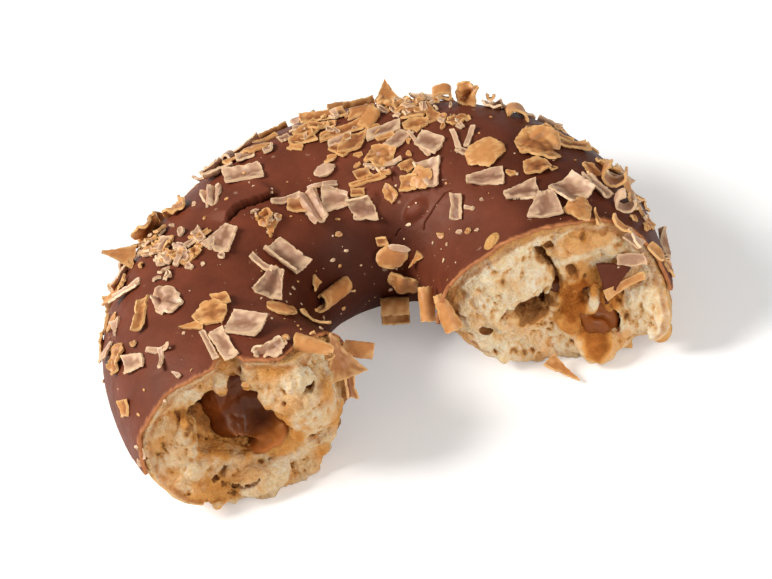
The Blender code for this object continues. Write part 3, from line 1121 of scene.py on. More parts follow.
def refine(work, lines, reach_mm):
    near = [edge for edge in work.edges if needs_detail(edge.verts[0].co, lines, reach_mm)]
    bmesh.ops.subdivide_edges(work, edges=near, cuts=1, use_grid_fill=True)


OVERLAP = 0.5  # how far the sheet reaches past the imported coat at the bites, in mm


def overlap(point):
    """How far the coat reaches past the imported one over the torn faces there, in mm."""
    turn, around, _ = ring_place(point)
    if abs(turn) >= 1:
        return OVERLAP
    return OVERLAP + 0.8 * smooth_step((degrees(around) % 360 - 115) / 40)


def past_trim(point):
    """How far past the trimmed edge a point is, in mm."""
    turn, around, _ = ring_place(point)
    turn, around = degrees(turn), degrees(around)
    turn += 360 if turn < -60 else 0
    around += 360 if around < -90 else 0
    past = -9.0
    for first, last, edge, side in TRIMS:
        ends = min(turn - first, last - turn) / 6
        past = max(past, min((around - edge) * side * 0.33, ends))
    return past


def past_packed(point, coat_tree):
    """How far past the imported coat's edge a point is, in mm: under 0 on it."""
    nearest = coat_tree.find_nearest(point)[0]
    ragged = 0.34 * rough(point, 1.5, 31) + 0.22 * rough(point, 0.7, 32)
    return max((nearest - point).length / MM - overlap(point), past_trim(point)) + ragged


def cut_at_break(work, coat_tree):
    """Deletes what lies past the break, and slides the first points past it back onto it."""
    work.verts.ensure_lookup_table()
    past = [past_packed(vertex.co, coat_tree) for vertex in work.verts]
    moved = {}
    for vertex in work.verts:
        if past[vertex.index] <= 0:
            continue
        crossings = []
        for edge in vertex.link_edges:
            other = edge.other_vert(vertex)
            if past[other.index] <= 0:
                share = past[vertex.index] / (past[vertex.index] - past[other.index])
                crossings.append(vertex.co.lerp(other.co, share))
        if crossings:
            moved[vertex] = sum(crossings, Vector()) / len(crossings)
    for vertex, place in moved.items():
        vertex.co = place
    gone = [vertex for vertex in work.verts if past[vertex.index] > 0 and vertex not in moved]
    bmesh.ops.delete(work, geom=gone, context="VERTS")


def make_coat(coat_tree):
    bpy.ops.object.select_all(action="DESELECT")
    bpy.ops.mesh.primitive_grid_add(x_subdivisions=COAT_CELLS_ROUND, y_subdivisions=COAT_CELLS_ACROSS, size=1)
    piece = take_new("coat_shell")
    for vertex in piece.data.vertices:
        turn = COAT_START + (COAT_END - COAT_START) * (vertex.co.x + 0.5)
        around = COAT_LOW + (COAT_HIGH - COAT_LOW) * (vertex.co.y + 0.5)
        vertex.co = ring_point(turn, around, COAT_SKIN)
    work = bmesh.new()
    work.from_mesh(piece.data)
    cut_at_break(work, coat_tree)
    for reach_mm in (2.0, 1.2):
        refine(work, (LEDGE, *CRACKS), reach_mm)
    work.to_mesh(piece.data)
    work.free()
    return piece


def raise_relief(piece):
    for vertex in piece.data.vertices:
        turn, around, _ = ring_place(vertex.co)
        if around < -pi / 2:
            around += 2 * pi
        if turn < radians(-60):
            turn += 2 * pi
        relief = coat_relief(turn, around, ring_point(turn, around, COAT_SKIN))
        vertex.co += ring_axes(turn, around)[2] * (relief * MM)


coat = make_coat(place_tree(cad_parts["chocolate_coat"]))
raise_relief(coat)
report(coat)


# %% [markdown]
# Chocolate that broke shows its inside at the rim, and a little of its skin is chipped there, so both are
# marked "broken". Then the sheet gets its thickness. Its inner face never shows, and is thinned.

# %% Thickness and broken rim
def write_broken(piece):
    """Marks the rim of the sheet, and the chipped skin for a little way back from it."""
    work = bmesh.new()
    work.from_mesh(piece.data)
    rim = [vertex.co.copy() for vertex in work.verts if vertex.is_boundary]
    work.free()
    near_rim = KDTree(len(rim))
    for index, point in enumerate(rim):
        near_rim.insert(point, index)
    near_rim.balance()
    broken = []
    for vertex in piece.data.vertices:
        away = near_rim.find(vertex.co)[2] / MM
        chipped = 0.75 * smooth_step(1 - (away - 0.45 * rough(vertex.co, 1.1, 61)) / 0.5)
        broken.append(1.0 if away < 0.01 else chipped)
    write_attribute(piece, "broken", broken)


def thicken_coat(piece):
    inner = piece.vertex_groups.new(name="inner")
    apply_modifier(piece, "SOLIDIFY", thickness=SHELL, offset=-1, shell_vertex_group=inner.name)
    apply_modifier(piece, "DECIMATE", ratio=INNER_RATIO, vertex_group="inner", vertex_group_factor=1.0)


def write_painted_shade(piece):
    """Marks where the coat is painted darker: painted shade on the wall of the hole and towards the right, and
    a painted shadow along the ledge.
    """
    dark_tone_and_painted_shade = []
    for vertex in piece.data.vertices:
        turn, around, _ = ring_place(vertex.co)
        # Painted shadow along the step and groove of the ledge
        away, there = ledge_away(turn, around)
        fold = there * exp(-(((away - 0.2) / 0.42) ** 2))
        turn, around = degrees(turn), degrees(around)
        around += 360 if around < -90 else 0
        # Painted shade on the wall of the hole and on the right side
        wall = smooth_step((around - 120) / 34) * smooth_step((turn - 25) / 40 if turn > -60 else 1)
        right = 0.6 * smooth_step((62 - turn) / 35) * smooth_step((112 - around) / 25) if turn > -60 else 0
        cloud = 0.2 * rough(vertex.co, 9, 51)
        dark_tone_and_painted_shade.append(min(1.0, max(0.0, fold, max(wall, right) + cloud)))
    write_attribute(piece, "dark_tone_and_painted_shade", dark_tone_and_painted_shade)


write_broken(coat)
thicken_coat(coat)
write_painted_shade(coat)
set_finish(coat, CHOCOLATE)
report(coat)

# %% [markdown]
# ## Shavings
#
# A shaving starts as a flat sheet that the knife peels off, and its shape is how it curls: across its
# width into a gutter or a roll, along its length into an arch. So one function makes them all, from a few
# words of description, and each kind is a line in a table. Its outline is ragged, its rim is marked, and
# it is pressed onto the coat where it fell.

# %% Kinds of shaving
# roll: degrees curled across the width, arch: degrees along the length, plus is edges up. taper: share lost
# at the far end, skew: how slanted it is, flute: height of ribs in mm, crumple: height in mm, spiral: share
# the radius shrinks by, corners: how many corners a torn outline has, jag: how uneven they are
SHAPES = {
    "plate": dict(roll=125, arch=16, crumple=0.12),
    "slab": dict(roll=35, arch=10, crumple=0.12),
    "gutter": dict(roll=165, arch=10, crumple=0.08),
    "fan": dict(roll=85, arch=35, taper=0.62, flute=0.12, crumple=0.10),
    "fold": dict(roll=-50, arch=14, taper=0.5, flute=0.5, crumple=0.10),
    "roll": dict(roll=-250, arch=-6, skew=0.35, crumple=0.05, spiral=0.15),
    "hoop": dict(roll=15, arch=-215, crumple=0.10),
    "curl": dict(roll=20, arch=250, crumple=0.10),
    "ribbon": dict(roll=50, arch=80, crumple=0.16),
    "bow": dict(roll=40, arch=-80, crumple=0.16),
    "leaf": dict(roll=-50, arch=-20, outline="leaf", crumple=0.08),
    "star": dict(roll=95, arch=-25, corners=8, jag=0.34, crumple=0.5),
    "flake": dict(roll=70, arch=-20, corners=6, jag=0.26, crumple=0.22),
    "dome": dict(roll=-85, arch=-40, corners=6, jag=0.14, crumple=0.10),
    "shell": dict(roll=-140, arch=-70, corners=7, jag=0.18, flute=0.2, crumple=0.16),
    "crumpled": dict(roll=80, arch=50, corners=9, jag=0.3, flute=0.25, crumple=0.7),
    "roof": dict(roll=-200, arch=-10, taper=0.1, crumple=0.08),
    "tent": dict(roll=-200, arch=-10, taper=0.7, crumple=0.08),
    "spike": dict(roll=50, arch=20, taper=0.97, crumple=0.08),
    "chip": dict(roll=30, arch=10, corners=5, jag=0.25, crumple=0.14),
}
SHEET_CELL = 0.34
SHAVING_THICKNESS = 0.4 * MM
GROWN = 1.1  # the rows give what shows of a shaving, and a little is hidden
RAGGED = 0.4  # how far the rim is torn back, in mm
RIM = 0.999  # share of the way out from the middle past which a point is on the rim
VARIED = ("plate", "slab", "gutter", "ribbon", "bow")  # these get an uneven outline of their own


def torn_outline(corners, jag, seed):
    """Corners of a torn flake as angle and radius, counted anticlockwise."""
    rng = Random(seed)
    made = []
    for index in range(corners):
        angle = 2 * pi * (index + rng.uniform(-0.3, 0.3)) / corners - pi
        made.append((angle, 1 + jag * rng.uniform(-1.1, 0.7)))
    return made


def outline_radius(made, angle):
    """Distance of a torn outline's straight sides in this direction."""
    count = len(made)
    for index in range(count):
        (angle_a, radius_a), (angle_b, radius_b) = made[index], made[(index + 1) % count]
        span = (angle_b - angle_a) % (2 * pi)
        share = (angle - angle_a) % (2 * pi)
        if share <= span:
            # Where the ray crosses the straight line between the two corners
            inner = radius_a * radius_b * sin(span)
            return inner / max(1e-6, radius_a * sin(share) + radius_b * sin(span - share))
    return 1.0


def bend(distance, height, turn_by, size, spiral=0.0):
    """Bends a strip of this size by this angle: returns the new distance and height."""
    if abs(turn_by) < 1e-3:
        return distance, height
    angle = turn_by * distance / size
    radius = size / turn_by * (1 - spiral * (distance / size + 0.5))
    return (radius - height) * sin(angle), radius - (radius - height) * cos(angle)


def flat_width(chord, turn_by):
    """Width of the flat strip that spans this chord once it is bent by this angle."""
    half = abs(turn_by) / 2
    if half < 0.05 or half > 1.4:
        return chord
    return chord * half / sin(half)


def outlined(shape, corners, u, v):
    """Moves a point of the square sheet to where the outline of this kind has it."""
    if corners:
        angle = atan2(v, u)
        radius = max(abs(u), abs(v)) * outline_radius(corners, angle)
        return radius * cos(angle), radius * sin(angle)
    if shape.get("outline") == "leaf":
        return u, v * max(0.0, 1 - u * u) ** 0.5
    return u, v


def torn_back(x, y, width, seed):
    """A point of the rim, torn back towards the middle."""
    torn = 0.7 * abs(noise.noise(Vector((x * 2.7, y * 2.7, seed * 7.3))))
    torn += max(0.0, noise.noise(Vector((x * 1.1, y * 1.1, seed))))
    torn *= RAGGED * min(1.0, width / 2) / max(0.3, hypot(x, y))
    kept = 1 - min(torn, 0.45)
    return x * kept, y * kept


def crumpled(shape, x, y, v, seed):
    """Height of the sheet before it curls: its crumples, and the ribs of a fluted kind."""
    z = shape["crumple"] * 1.6 * noise.noise(Vector((x * 0.8, y * 0.8, seed * 5.1)))
    z += 0.12 * noise.noise(Vector((x * 2.1, y * 2.1, seed * 2.7)))
    return z + shape.get("flute", 0) * cos(v * 2.6 * pi + seed)


def make_sheet(kind, length, width, seed, curl=1.0):
    """A curled sheet of this kind with its attributes, in mm and still without thickness."""
    shape = SHAPES[kind]
    rng = Random(seed)
    roll_by, arch_by = radians(shape["roll"]) * curl, radians(shape["arch"]) * curl
    width, length = flat_width(width, roll_by), flat_width(length, arch_by)
    taper, skew = shape.get("taper", 0), shape.get("skew", 0)
    if kind in VARIED:
        taper, skew = rng.uniform(-0.15, 0.35), rng.uniform(-0.35, 0.35)
    corners = torn_outline(shape["corners"], shape["jag"], seed) if "corners" in shape else None
    cells_long, cells_wide = (max(4, round(side / SHEET_CELL)) for side in (length, width))
    bpy.ops.mesh.primitive_grid_add(x_subdivisions=cells_long, y_subdivisions=cells_wide, size=2)
    piece = take_new("sheet")
    edge, hollow = [], []
    for vertex in piece.data.vertices:
        u, v = vertex.co.x, vertex.co.y
        reach = max(abs(u), abs(v))
        uneven = noise.noise(Vector((u * length * 0.5, v * width * 0.5, seed)))
        # The rim: partly lighter broken chocolate, partly a painted highlight
        edge.append(0.7 * smooth_step((reach - 0.5 + 0.7 * uneven) / 0.6) if reach < RIM else 0.9)
        # The middle of a rolled-up trough: painted shade
        hollow.append(smooth_step(1.1 - 1.7 * abs(v + 0.5 * uneven)) if roll_by > 1 else 0.0)
        u, v = outlined(shape, corners, u, v)
        v *= 1 - taper * (u + 1) / 2
        x, y = u * length / 2, v * width / 2
        x += skew * y
        if reach > RIM:
            x, y = torn_back(x, y, width, seed)
        z = crumpled(shape, x, y, v, seed)
        y, z = bend(y, z, roll_by, width, shape.get("spiral", 0))
        x, z = bend(x, z, arch_by, length)
        vertex.co = (x, y, z)
    write_attribute(piece, "edge", edge)
    write_attribute(piece, "hollow", hollow)
    return piece


# %% Laying a shaving on the coat
HEIGHT_SOFT, HEIGHT_ROOM = cad_box[1].z - 0.2 * MM, 0.8 * MM  # what rises above the first is pressed down


def press_down(piece, tint):
    """Keeps a shaving near the height of the coat, and writes its tint."""
    for vertex in piece.data.vertices:
        over = vertex.co.z - HEIGHT_SOFT
        if over > 0:
            vertex.co.z = HEIGHT_SOFT + over * HEIGHT_ROOM / (over + HEIGHT_ROOM)
    write_attribute(piece, "tint", [tint] * len(piece.data.vertices))


def facing_out(turn, around):
    """The turn that lays X along the ring, Y round its section and Z outwards."""
    return Matrix(ring_axes(turn, around)).transposed().to_4x4()


def lay(piece, turn, around, spin, lean, lift, roll_over, tint):
    """Turns a sheet in mm to its place on the ring, and presses it down until it touches the coat."""
    turn, around = radians(turn), radians(around)
    outwards = ring_axes(turn, around)[2]
    facing = facing_out(turn, around)
    facing = facing @ Matrix.Rotation(radians(spin), 4, "Z") @ Matrix.Rotation(radians(-lean), 4, "Y")
    facing = facing @ Matrix.Rotation(radians(roll_over), 4, "X") @ Matrix.Diagonal((MM, MM, MM, 1))
    base = coat_point(turn, around)
    piece.data.transform(Matrix.Translation(base) @ facing)
    heights = sorted(ring_place(vertex.co)[2] - COAT_SKIN for vertex in piece.data.vertices)
    touching = heights[len(heights) // 8]
    piece.data.transform(Matrix.Translation(outwards * (0.12 * MM + lift * MM - touching)))
    press_down(piece, tint)


def hang(piece, place_mm, along, facing, tint):
    """Puts a sheet at a place from the ring's centre: its length runs along, and its top looks to facing."""
    along = Vector(along).normalized()
    across = Vector(facing).cross(along).normalized()
    turned = Matrix((along, across, along.cross(across))).transposed().to_4x4()
    place = Matrix.Translation(RING_CENTRE + Vector(place_mm) * MM)
    piece.data.transform(place @ turned @ Matrix.Diagonal((MM, MM, MM, 1)))
    press_down(piece, tint)


def hang_all(rows, rng):
    """A sheet for each row: kind, length, width, place, along, facing and tint."""
    sheets = []
    for kind, length, width, place_mm, along, facing, tint in rows:
        sheet = make_sheet(kind, length, width, rng.uniform(0, 40))
        hang(sheet, place_mm, along, facing, tint)
        sheets.append(sheet)
    return sheets


def shave(rows, rng):
    """A sheet for each row: kind, turn, around, spin, length, width, and then lean, lift and roll over."""
    sheets = []
    for kind, turn, around, spin, length, width, *rest in rows:
        lean, lift, over = (*rest, 0, 0, 0)[:3]
        if not rest and kind not in ("roll", "hoop", "curl"):
            lean, over = rng.uniform(-4, 16), rng.uniform(-18, 18)
        sheet = make_sheet(kind, length * GROWN, width * GROWN, rng.uniform(0, 40), rng.uniform(0.7, 1.3))
        lay(sheet, turn, around, spin, lean, lift, over, rng.uniform(0.1, 1))
        sheets.append(sheet)
    return sheets


# %% [markdown]
# The shavings that catch the eye are laid one by one, zone by zone. Turn, around and spin are in degrees,
# lengths in mm. Spin 0 lies along the ring and 90 across it.

# %% Golden shavings laid one by one
GOLDEN_ROWS = (
    # outer left
    ("star", 138, 55, 80, 5.2, 3.4, 12),
    ("star", 143, 39, 60, 5.4, 4.4, 25, 0.4),
    ("spike", 148, 36, 20, 4.0, 2.0, 25),
    ("flake", 154, 38, 30, 2.6, 1.8, 30),
    ("plate", 178, 59, -10, 6.4, 1.7),
    ("star", 184, 37, -50, 5.4, 4.2, 8),
    ("chip", 185, 51, 30, 1.8, 1.2),
    ("plate", 195, 25, -50, 2.6, 2.2),
    ("star", 191, 94, 65, 5.4, 5.0, 0, 0.2),
    ("plate", 185, 101, 80, 2.6, 2.4, 15, 0.2),
    ("spike", 192, 82, -110, 3.6, 2.2),
    ("crumpled", 134, 112, 35, 3.4, 2.8),
    ("spike", 137, 118, 30, 3.6, 2.4),
    ("plate", 118, 118, -35, 3.0, 2.4, 6),
    ("leaf", 195, 130, 40, 4.6, 3.6),
    # wall of the hole, left
    ("roll", 145, 168, -20, 7.0, 5.6, 0, 0.3),
    ("spike", 152, 156, 0, 3.2, 1.8, 20),
    ("ribbon", 202, 150, 35, 4.6, 1.5, 10),
    # wall of the hole, back
    ("plate", 74, 154, -5, 1.8, 1.8),
    ("leaf", 65, 162, 10, 4.7, 3.4),
    ("spike", 42, 163, 60, 3.2, 1.4),
    ("shell", 58, 181, 70, 4.4, 4.6, 0, 0.2),
    ("curl", 76, 203, 80, 9.5, 4.2),
    ("chip", 106, 143, -25, 1.4, 1.1),
    # the top, left to right
    ("spike", 108, 60, 5, 4.0, 1.2),
    ("plate", 100, 80, -5, 4.2, 2.6),
    ("plate", 92, 62, -8, 7.0, 2.4),
    ("plate", 93, 73, -18, 4.4, 1.4),
    ("plate", 87, 83, 10, 7.6, 2.2),
    ("roll", 79, 78, 70, 4.6, 5.4, 0, -0.2),
    ("gutter", 84, 94, 70, 4.4, 3.4),
    ("spike", 76, 46, -80, 5.0, 4.0, 40, 0.5),
    ("crumpled", 74, 62, -15, 5.0, 3.4),
    ("crumpled", 69, 66, 20, 4.2, 3.0),
    ("flake", 66, 74, 20, 4.4, 3.2),
    ("star", 74, 105, -20, 5.2, 4.6, 4),
    ("ribbon", 73, 93, 25, 3.0, 1.2),
    ("flake", 94, 101, 15, 2.6, 1.6),
    ("chip", 83, 103, -20, 1.8, 1.2),
    ("chip", 84, 109, 40, 1.6, 1.0),
    ("chip", 64, 96, 5, 1.1, 1.1),
    ("chip", 62, 104, 5, 1.3, 1.3),
    ("flake", 61, 112, 50, 2.8, 2.4),
    ("plate", 58, 121, 15, 2.8, 2.2),
    ("dome", 52, 117, -45, 4.6, 3.6, 0, 0.3),
    ("plate", 82, 115, 10, 2.4, 1.8),
    ("plate", 80, 119, 10, 5.6, 1.0),
    ("plate", 86, 125, -10, 2.2, 1.3),
    ("flake", 68, 127, -60, 3.2, 2.6),
    ("chip", 71, 96, 20, 1.6, 1.2),
    ("plate", 97, 74, 30, 4.6, 2.6),
    ("flake", 103, 83, -30, 3.4, 2.4),
    ("roll", 81, 70, 20, 4.0, 4.4, 8, 0.2),
    ("flake", 78, 88, 50, 3.6, 2.6),
    ("star", 63, 84, 10, 4.4, 3.4, 10, 0.3),
    ("plate", 90, 97, -50, 3.2, 1.8),
    ("leaf", 112, 66, -15, 4.6, 2.2, 10),
    ("flake", 118, 58, 40, 3.6, 2.8, 15),
    # behind the top: curls that stand up
    ("spike", 61, 72, -55, 5.2, 3.2, 10),
    ("crumpled", 52, 76, 60, 4.4, 1.8, 10),
    ("shell", 34, 91, -30, 6.2, 5.6, 12, 0.3),
    ("star", 26, 71, 45, 8.0, 6.4, 10, 0.4),
    ("crumpled", 31, 63, 70, 4.0, 3.0, 10, 0.4),
    ("star", 17, 78, 65, 5.4, 3.6, 12, 0.3),
    ("chip", 20, 91, 25, 1.7, 1.1),
    # right
    ("dome", -4, 69, -10, 5.4, 4.4, 0, 0.3),
    ("spike", -6, 60, 10, 3.2, 1.0),
    ("curl", 9, 43, 60, 8.0, 2.8, 0, 0.2),
    ("plate", 16, 35, 55, 3.6, 2.2),
    ("spike", 1, 25, 60, 4.6, 1.8, 8),
    ("plate", 29, 49, 25, 5.4, 2.2, 10),
    ("flake", 12, 52, 30, 3.6, 2.6, 20),
    ("flake", 3, 34, 50, 3.0, 2.0, 25),
    ("ribbon", -7, 47, 70, 3.6, 1.2, 10),
    ("chip", -3, 27, 20, 1.6, 1.2),
    ("chip", 5, 126, 30, 1.7, 1.2),
    ("chip", 23, 141, 20, 1.5, 1.1),
)


# %% Shavings that stand free
# kind, length, width, place from the ring's centre in mm, direction of the length, direction faced, tint
FREE_GOLDEN = (
    # over the hole, right: a rolled sheet and a half cone side by side
    ("roof", 5.8, 3.6, (7.1, -1.2, 1.8), (-0.16, -0.68, -0.72), (-0.1, -0.73, 0.68), 0.95),
    ("tent", 6.4, 4.6, (9.5, -6.0, 3.4), (-0.14, 0.68, 0.72), (-0.25, -0.7, 0.66), 0.9),
    # a cone on the rim of the inner lobe
    ("tent", 6.4, 4.2, (-11.3, -15.9, 13.5), (0.87, -0.34, -0.36), (-0.1, -0.6, 0.8), 0.95),
    # over the hole, left: a triangle and a half pipe
    ("spike", 7.6, 7.0, (-8.2, -12.8, 7.0), (-0.1, 0.68, 0.73), (0.4, -0.75, 0.4), 0.3),
    ("roof", 5.0, 4.0, (-4.9, -10.2, 4.9), (0.9, -0.3, -0.2), (-0.2, -0.5, 0.8), 0.5),
    ("gutter", 4.2, 2.6, (-7.9, -14.9, 2.4), (0.1, 0.6, 0.75), (0.6, -0.7, 0.3), 0.1),
    ("ribbon", 5.2, 1.5, (-10.4, -12.4, 9.6), (-0.4, 0.6, 0.7), (0.3, -0.7, 0.6), 0.4),
    # on the skyline: an arch, a crumpled cup, a small curl, and the long spike at the left
    ("hoop", 5.0, 2.6, (18.6, 32.4, 15.6), (0.95, -0.15, -0.2), (0.1, 0.1, 0.95), 0.7),
    ("crumpled", 4.6, 4.2, (22.6, 32.0, 13.2), (0.8, 0.1, 0.5), (-0.2, -0.7, 0.6), 0.9),
    ("curl", 2.6, 1.8, (25.6, 31.0, 11.6), (0.9, -0.2, -0.3), (0.1, 0.5, 0.8), 0.5),
    ("spike", 5.6, 4.0, (-38.2, 18.4, 11.0), (-0.85, 0.2, 0.35), (-0.25, -0.6, 0.75), 0.8),
    # on the torn faces: the strip over the right one, the sliver under it, a crumb in the left notch
    ("ribbon", 7.4, 1.7, (38.0, -7.6, 1.4), (0.9, -0.12, 0.43), (0.05, -0.85, 0.5), 1.0),
    ("spike", 6.4, 2.8, (25.4, -10.2, -11.2), (0.62, -0.74, -0.26), (0.1, -0.3, 0.95), 0.6),
    ("chip", 1.6, 1.2, (-23.0, -16.2, 9.4), (0.9, -0.1, -0.2), (0.0, -0.6, 0.8), 1.0),
)
FREE_PALE = (
    ("slab", 4.8, 2.4, (39.6, -6.6, 4.9), (0.97, -0.2, -0.05), (0.1, -0.6, 0.78), 0.45),
    ("slab", 3.2, 1.8, (40.6, -5.2, 7.7), (0.6, -0.45, -0.65), (0.45, -0.6, 0.62), 0.7),
    ("ribbon", 2.6, 0.9, (-41.2, -16.2, 1.4), (0.2, -0.35, -0.9), (-0.6, -0.7, 0.3), 0.9),
    ("chip", 2.0, 1.4, (-42.0, -16.4, -0.8), (0.2, -0.35, -0.9), (-0.7, -0.6, 0.2), 0.6),
)
FREE_DARK = (
    ("spike", 7.2, 5.4, (35.6, -7.2, 1.8), (-0.33, -0.2, -0.93), (-0.1, -0.9, 0.42), 0.5),
    ("slab", 2.4, 1.6, (-41.4, -15.8, 0.6), (0.2, -0.35, -0.9), (-0.7, -0.6, 0.2), 0.5),
)


# %% Pale shavings laid one by one
PALE_ROWS = (
    # outer left
    ("plate", 122, 81, -40, 6.0, 3.4),
    ("plate", 124, 62, -15, 5.0, 2.4),
    ("fold", 134, 77, 40, 5.0, 3.4),
    ("chip", 137, 68, 80, 1.8, 1.5),
    ("plate", 110, 74, 70, 2.4, 1.8),
    ("plate", 116, 67, -15, 3.0, 2.0),
    ("ribbon", 123, 98, -65, 3.4, 0.8),
    ("fan", 151, 99, 170, 5.2, 4.8, 8),
    ("plate", 166, 47, -80, 5.4, 1.8),
    ("crumpled", 178, 75, 45, 6.2, 5.0),
    ("spike", 175, 39, -10, 3.0, 2.2),
    ("leaf", 178, 28, -75, 3.6, 2.6),
    ("plate", 190, 47, 55, 4.0, 3.0, 0, 0.1),
    ("ribbon", 193, 63, 55, 4.0, 0.9),
    ("ribbon", 196, 61, -25, 3.8, 0.8),
    ("chip", 203, 62, 10, 2.2, 0.9),
    ("plate", 203, 84, -12, 6.4, 0.9),
    ("plate", 206, 89, -12, 6.4, 2.4, 0, 0.1),
    ("plate", 203, 105, 35, 5.6, 4.4),
    ("crumpled", 221, 101, 60, 5.6, 3.0),
    ("ribbon", 120, 112, -25, 4.6, 1.1, 0, 0.2),
    ("gutter", 150, 133, 80, 6.0, 4.2),
    ("ribbon", 160, 123, 60, 4.4, 1.0),
    ("fan", 173, 129, 165, 5.6, 4.6),
    ("chip", 133, 105, -35, 1.8, 0.8),
    # the top
    ("plate", 99, 69, -20, 3.0, 2.2),
    ("plate", 104, 71, 0, 1.8, 1.5),
    ("plate", 89, 90, 15, 4.0, 1.6),
    ("plate", 74, 88, 25, 5.4, 2.2),
    ("leaf", 98, 107, 15, 3.4, 2.2),
    ("plate", 68, 95, 60, 4.0, 2.2),
    ("ribbon", 60, 97, -42, 6.4, 0.6),
    ("plate", 56, 95, -15, 4.4, 3.4),
    ("fan", 49, 114, 130, 5.2, 4.0),
    ("ribbon", 72, 111, 12, 5.4, 0.8),
    ("bow", 102, 115, -15, 4.4, 0.8),
    ("fold", 112, 124, 85, 5.6, 4.0),
    ("fan", 99, 125, 160, 4.2, 4.6),
    ("plate", 85, 134, -5, 3.8, 3.4),
    ("ribbon", 47, 90, -45, 5.0, 1.0),
    ("ribbon", 40, 95, 5, 3.8, 1.0),
    ("ribbon", 44, 85, -68, 4.4, 0.9),
    ("leaf", 58, 157, -10, 3.2, 1.0),
    # right
    ("fan", 25, 102, 55, 5.6, 3.6),
    ("plate", 25, 123, -45, 4.2, 1.9),
    ("ribbon", 18, 119, 30, 1.8, 0.6),
    ("fan", 9, 93, 80, 5.2, 4.2),
    ("fan", 0, 84, -12, 5.4, 5.4),
    ("gutter", 4, 70, 30, 5.0, 5.0),
    ("gutter", 6, 54, 17, 5.6, 2.2),
    ("curl", 0, 43, 80, 7.5, 2.0),
    ("spike", -9, 38, 60, 3.2, 2.4),
    ("chip", 78, 138, 0, 1.2, 0.9),
    ("chip", 10, 131, 50, 1.3, 0.8),
)


# %% [markdown]
# Between them lie the small ones: heaps of broken bits on the left shoulder and along the top, and single
# crumbs everywhere. The side that was out of sight when the doughnut was bitten has as many shavings as
# the rest, so they are drawn at random there, with a fixed seed and kept apart from each other.

# %% Heaps, crumbs and the far side
# Heaps of bits: turn, around, spread in degrees of both, how many, largest length in mm
HEAPS = (
    (157, 74, 12, 22, 36, 3.2),
    (150, 58, 7, 14, 14, 2.8),
    (69, 64, 9, 8, 30, 2.6),
    (88, 74, 14, 16, 14, 2.2),
    (134, 112, 4, 6, 8, 1.6),
    (222, 108, 5, 6, 8, 1.6),
    (78, 112, 9, 8, 10, 1.6),
    (54, 78, 6, 6, 8, 1.5),
    (0, 28, 5, 8, 8, 1.6),
)
HEAP_KINDS = ("chip", "flake", "crumpled", "ribbon", "bow", "gutter", "star")
FAR_COUNT = 74
FAR_KINDS = ("plate", "plate", "fan", "flake", "flake", "gutter", "roll", "leaf", "spike", "fold", "ribbon")


def heap_rows(rng):
    rows = []
    for turn, around, turn_spread, around_spread, count, largest in HEAPS:
        for _ in range(count):
            length = rng.uniform(0.35, 1) * largest
            kind = rng.choice(HEAP_KINDS)
            place = (rng.gauss(turn, turn_spread / 2), rng.gauss(around, around_spread / 2))
            spin, width = rng.uniform(-90, 90), length * rng.uniform(0.35, 0.8)
            rows.append((kind, *place, spin, length, width, rng.uniform(-10, 35), rng.uniform(0, 0.5)))
    return rows


def far_rows(rng, count, taken):
    """Shavings on the outer wall behind and at the sides, each clear of the ones laid before."""
    rows = []
    places = [coat_point(radians(row[1]), radians(row[2])) for row in taken]
    tries = 0
    while len(rows) < count and tries < 4000:
        tries += 1
        turn, around = rng.uniform(-12, 174), rng.uniform(-8, 50)
        place = coat_point(radians(turn), radians(around))
        length = rng.uniform(2.2, 6.5)
        if any((place - other).length < (1.2 + 0.42 * length) * MM for other in places):
            continue
        places.append(place)
        kind = rng.choice(FAR_KINDS)
        width = length * (1.2 if kind == "roll" else rng.uniform(0.4, 0.8))
        rows.append((kind, turn, around, rng.uniform(-90, 90), length, width, rng.uniform(0, 8)))
    return rows


def crumb_bits(rng, count, largest, coat_tree):
    """Tiny crumbs of a few faces each, over all of the coat."""
    work = bmesh.new()
    for _ in range(count):
        turn, around = rng.uniform(-20, 220), rng.uniform(-8, 205)
        if not is_on_coat(turn, around, coat_tree):
            continue
        turn, around = radians(turn), radians(around)
        size = largest * rng.random() ** 2 + 0.16
        along, _, outwards = ring_axes(turn, around)
        facing = facing_out(turn, around) @ Matrix.Rotation(rng.uniform(0, pi), 4, "Z")
        half = [size * rng.uniform(0.35, 0.6) * MM, size * rng.uniform(0.25, 0.45) * MM, size * 0.22 * MM]
        place = Matrix.Translation(coat_point(turn, around) + outwards * half[2] * 0.6) @ facing
        place = place @ Matrix.Diagonal((*half, 1))
        for vertex in bmesh.ops.create_icosphere(work, subdivisions=1, radius=1, matrix=place)["verts"]:
            up, aside = rng.uniform(-0.3, 0.3), rng.uniform(-0.3, 0.3)
            vertex.co += outwards * up * half[2] + along * aside * half[0]
    piece = add_worked("bits", work)
    count = len(piece.data.vertices)
    # Some points of the crumbs get the rim colour: partly a painted highlight
    write_attribute(piece, "edge", [rng.choice((0.0, 1.0)) for _ in range(count)])
    write_attribute(piece, "tint", [0.8] * count)
    write_attribute(piece, "hollow", [0.0] * count)
    return piece


def finish_shavings(name, sheets, bits, finish):
    """Joins the sheets, thickens them once, and adds the crumbs, which are solid already."""
    piece = join(sheets, name)
    apply_modifier(piece, "SOLIDIFY", thickness=SHAVING_THICKNESS, offset=0)
    piece = join([piece, bits], name)
    set_finish(piece, finish)
    bpy.ops.object.shade_smooth_by_angle(angle=radians(38))
    return piece


def is_on_coat(turn, around, coat_tree):
    """Whether the coat really is at these two angles, given in degrees."""
    point = ring_point(radians(turn), radians(around), COAT_SKIN)
    return (coat_tree.find_nearest(point)[0] - point).length < 1.2 * MM


def on_coat(rows, coat_tree):
    return [row for row in rows if is_on_coat(row[1], row[2], coat_tree)]


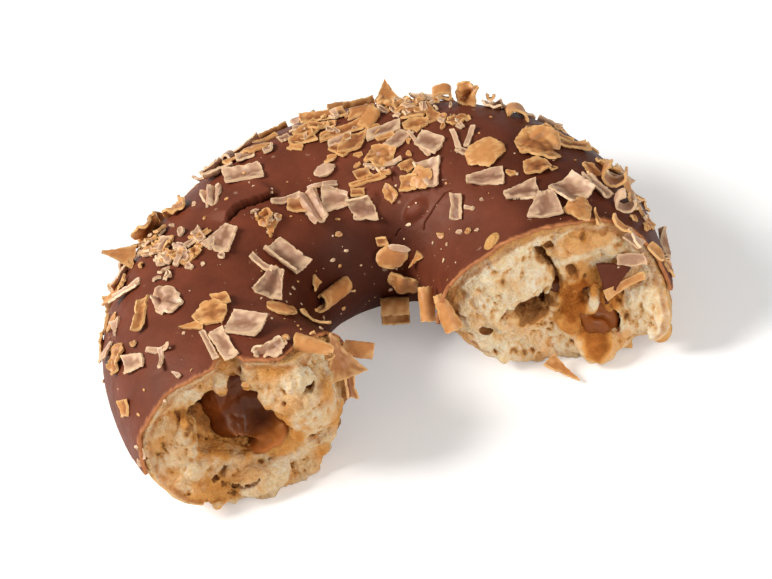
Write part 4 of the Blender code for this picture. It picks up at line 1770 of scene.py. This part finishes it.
bpy.ops.object.select_all(action="DESELECT")
shelf = Random(23)
coat_tree = place_tree(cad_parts["chocolate_coat"])
small = on_coat(heap_rows(shelf), coat_tree)
far = on_coat(far_rows(shelf, FAR_COUNT, GOLDEN_ROWS + PALE_ROWS), coat_tree)
golden_sheets = shave((*GOLDEN_ROWS, *small[::3], *far[::2]), shelf) + hang_all(FREE_GOLDEN, shelf)
golden = finish_shavings("golden_shavings", golden_sheets, crumb_bits(shelf, 90, 0.9, coat_tree), GOLDEN)
pale_sheets = shave((*PALE_ROWS, *small[1::3], *small[2::3], *far[1::2]), shelf) + hang_all(FREE_PALE, shelf)
pale = finish_shavings("pale_shavings", pale_sheets, crumb_bits(shelf, 150, 0.9, coat_tree), PALE)
report(golden)
report(pale)


def add_shards(coat, rng):
    """Joins the loose shards of coat on the torn faces to the coat."""
    shards = join(hang_all(FREE_DARK, rng), "shards")
    apply_modifier(shards, "SOLIDIFY", thickness=SHELL, offset=0)
    rims = shards.data.attributes["edge"].data
    write_attribute(shards, "broken", [1.0 if rim.value > 0.99 else 0.0 for rim in rims])
    # The shards get a little of the painted shade
    write_attribute(shards, "dark_tone_and_painted_shade", [0.4] * len(shards.data.vertices))
    coat = join([coat, shards], "coat_shell")
    set_finish(coat, CHOCOLATE)
    return coat


coat = add_shards(coat, shelf)
report(coat)


# %% [markdown]
# ## Floor
#
# A plain white sheet. It keeps the doughnut's shadow, and for the camera it glows very slightly, so that
# it reads as white paper and not as grey.

# %% Floor
def make_floor():
    bpy.ops.object.select_all(action="DESELECT")
    bpy.ops.mesh.primitive_plane_add(size=12)
    sheet = take_new("floor")
    finish, tree, shader = new_finish("white paper")
    feed(tree, shader.inputs["Base Color"], mottled(tree, (0.93, 0.93, 0.93), (0.91, 0.91, 0.91), 8, 1.0))
    set_values(shader, {"Roughness": 0.9, "Specular IOR Level": 0.1, "Emission Color": (1, 1, 1, 1)})
    seen = add_node(tree, "ShaderNodeLightPath").outputs["Is Camera Ray"]
    feed(tree, shader.inputs["Emission Strength"], calculate(tree, "MULTIPLY", seen, 0.2))
    sheet.data.materials.append(finish)
    return sheet


floor = make_floor()
print("floor at z = 0")

# %% [markdown]
# ## The body
#
# Every piece rides on the doughnut's one body, and the imported solids that the crumb, the coat and the
# caramel stand for are hidden.

# %% Bodies
for piece, slot, node in (
    (dough, "crumb", "dough"),
    (coat, "chocolate", "chocolate_coat"),
    (caramel, "caramel", "caramel_filling"),
):
    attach(piece, "root")
    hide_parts(node)
for piece, slot in ((golden, "golden_shavings"), (pale, "pale_shavings")):
    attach(piece, "root")
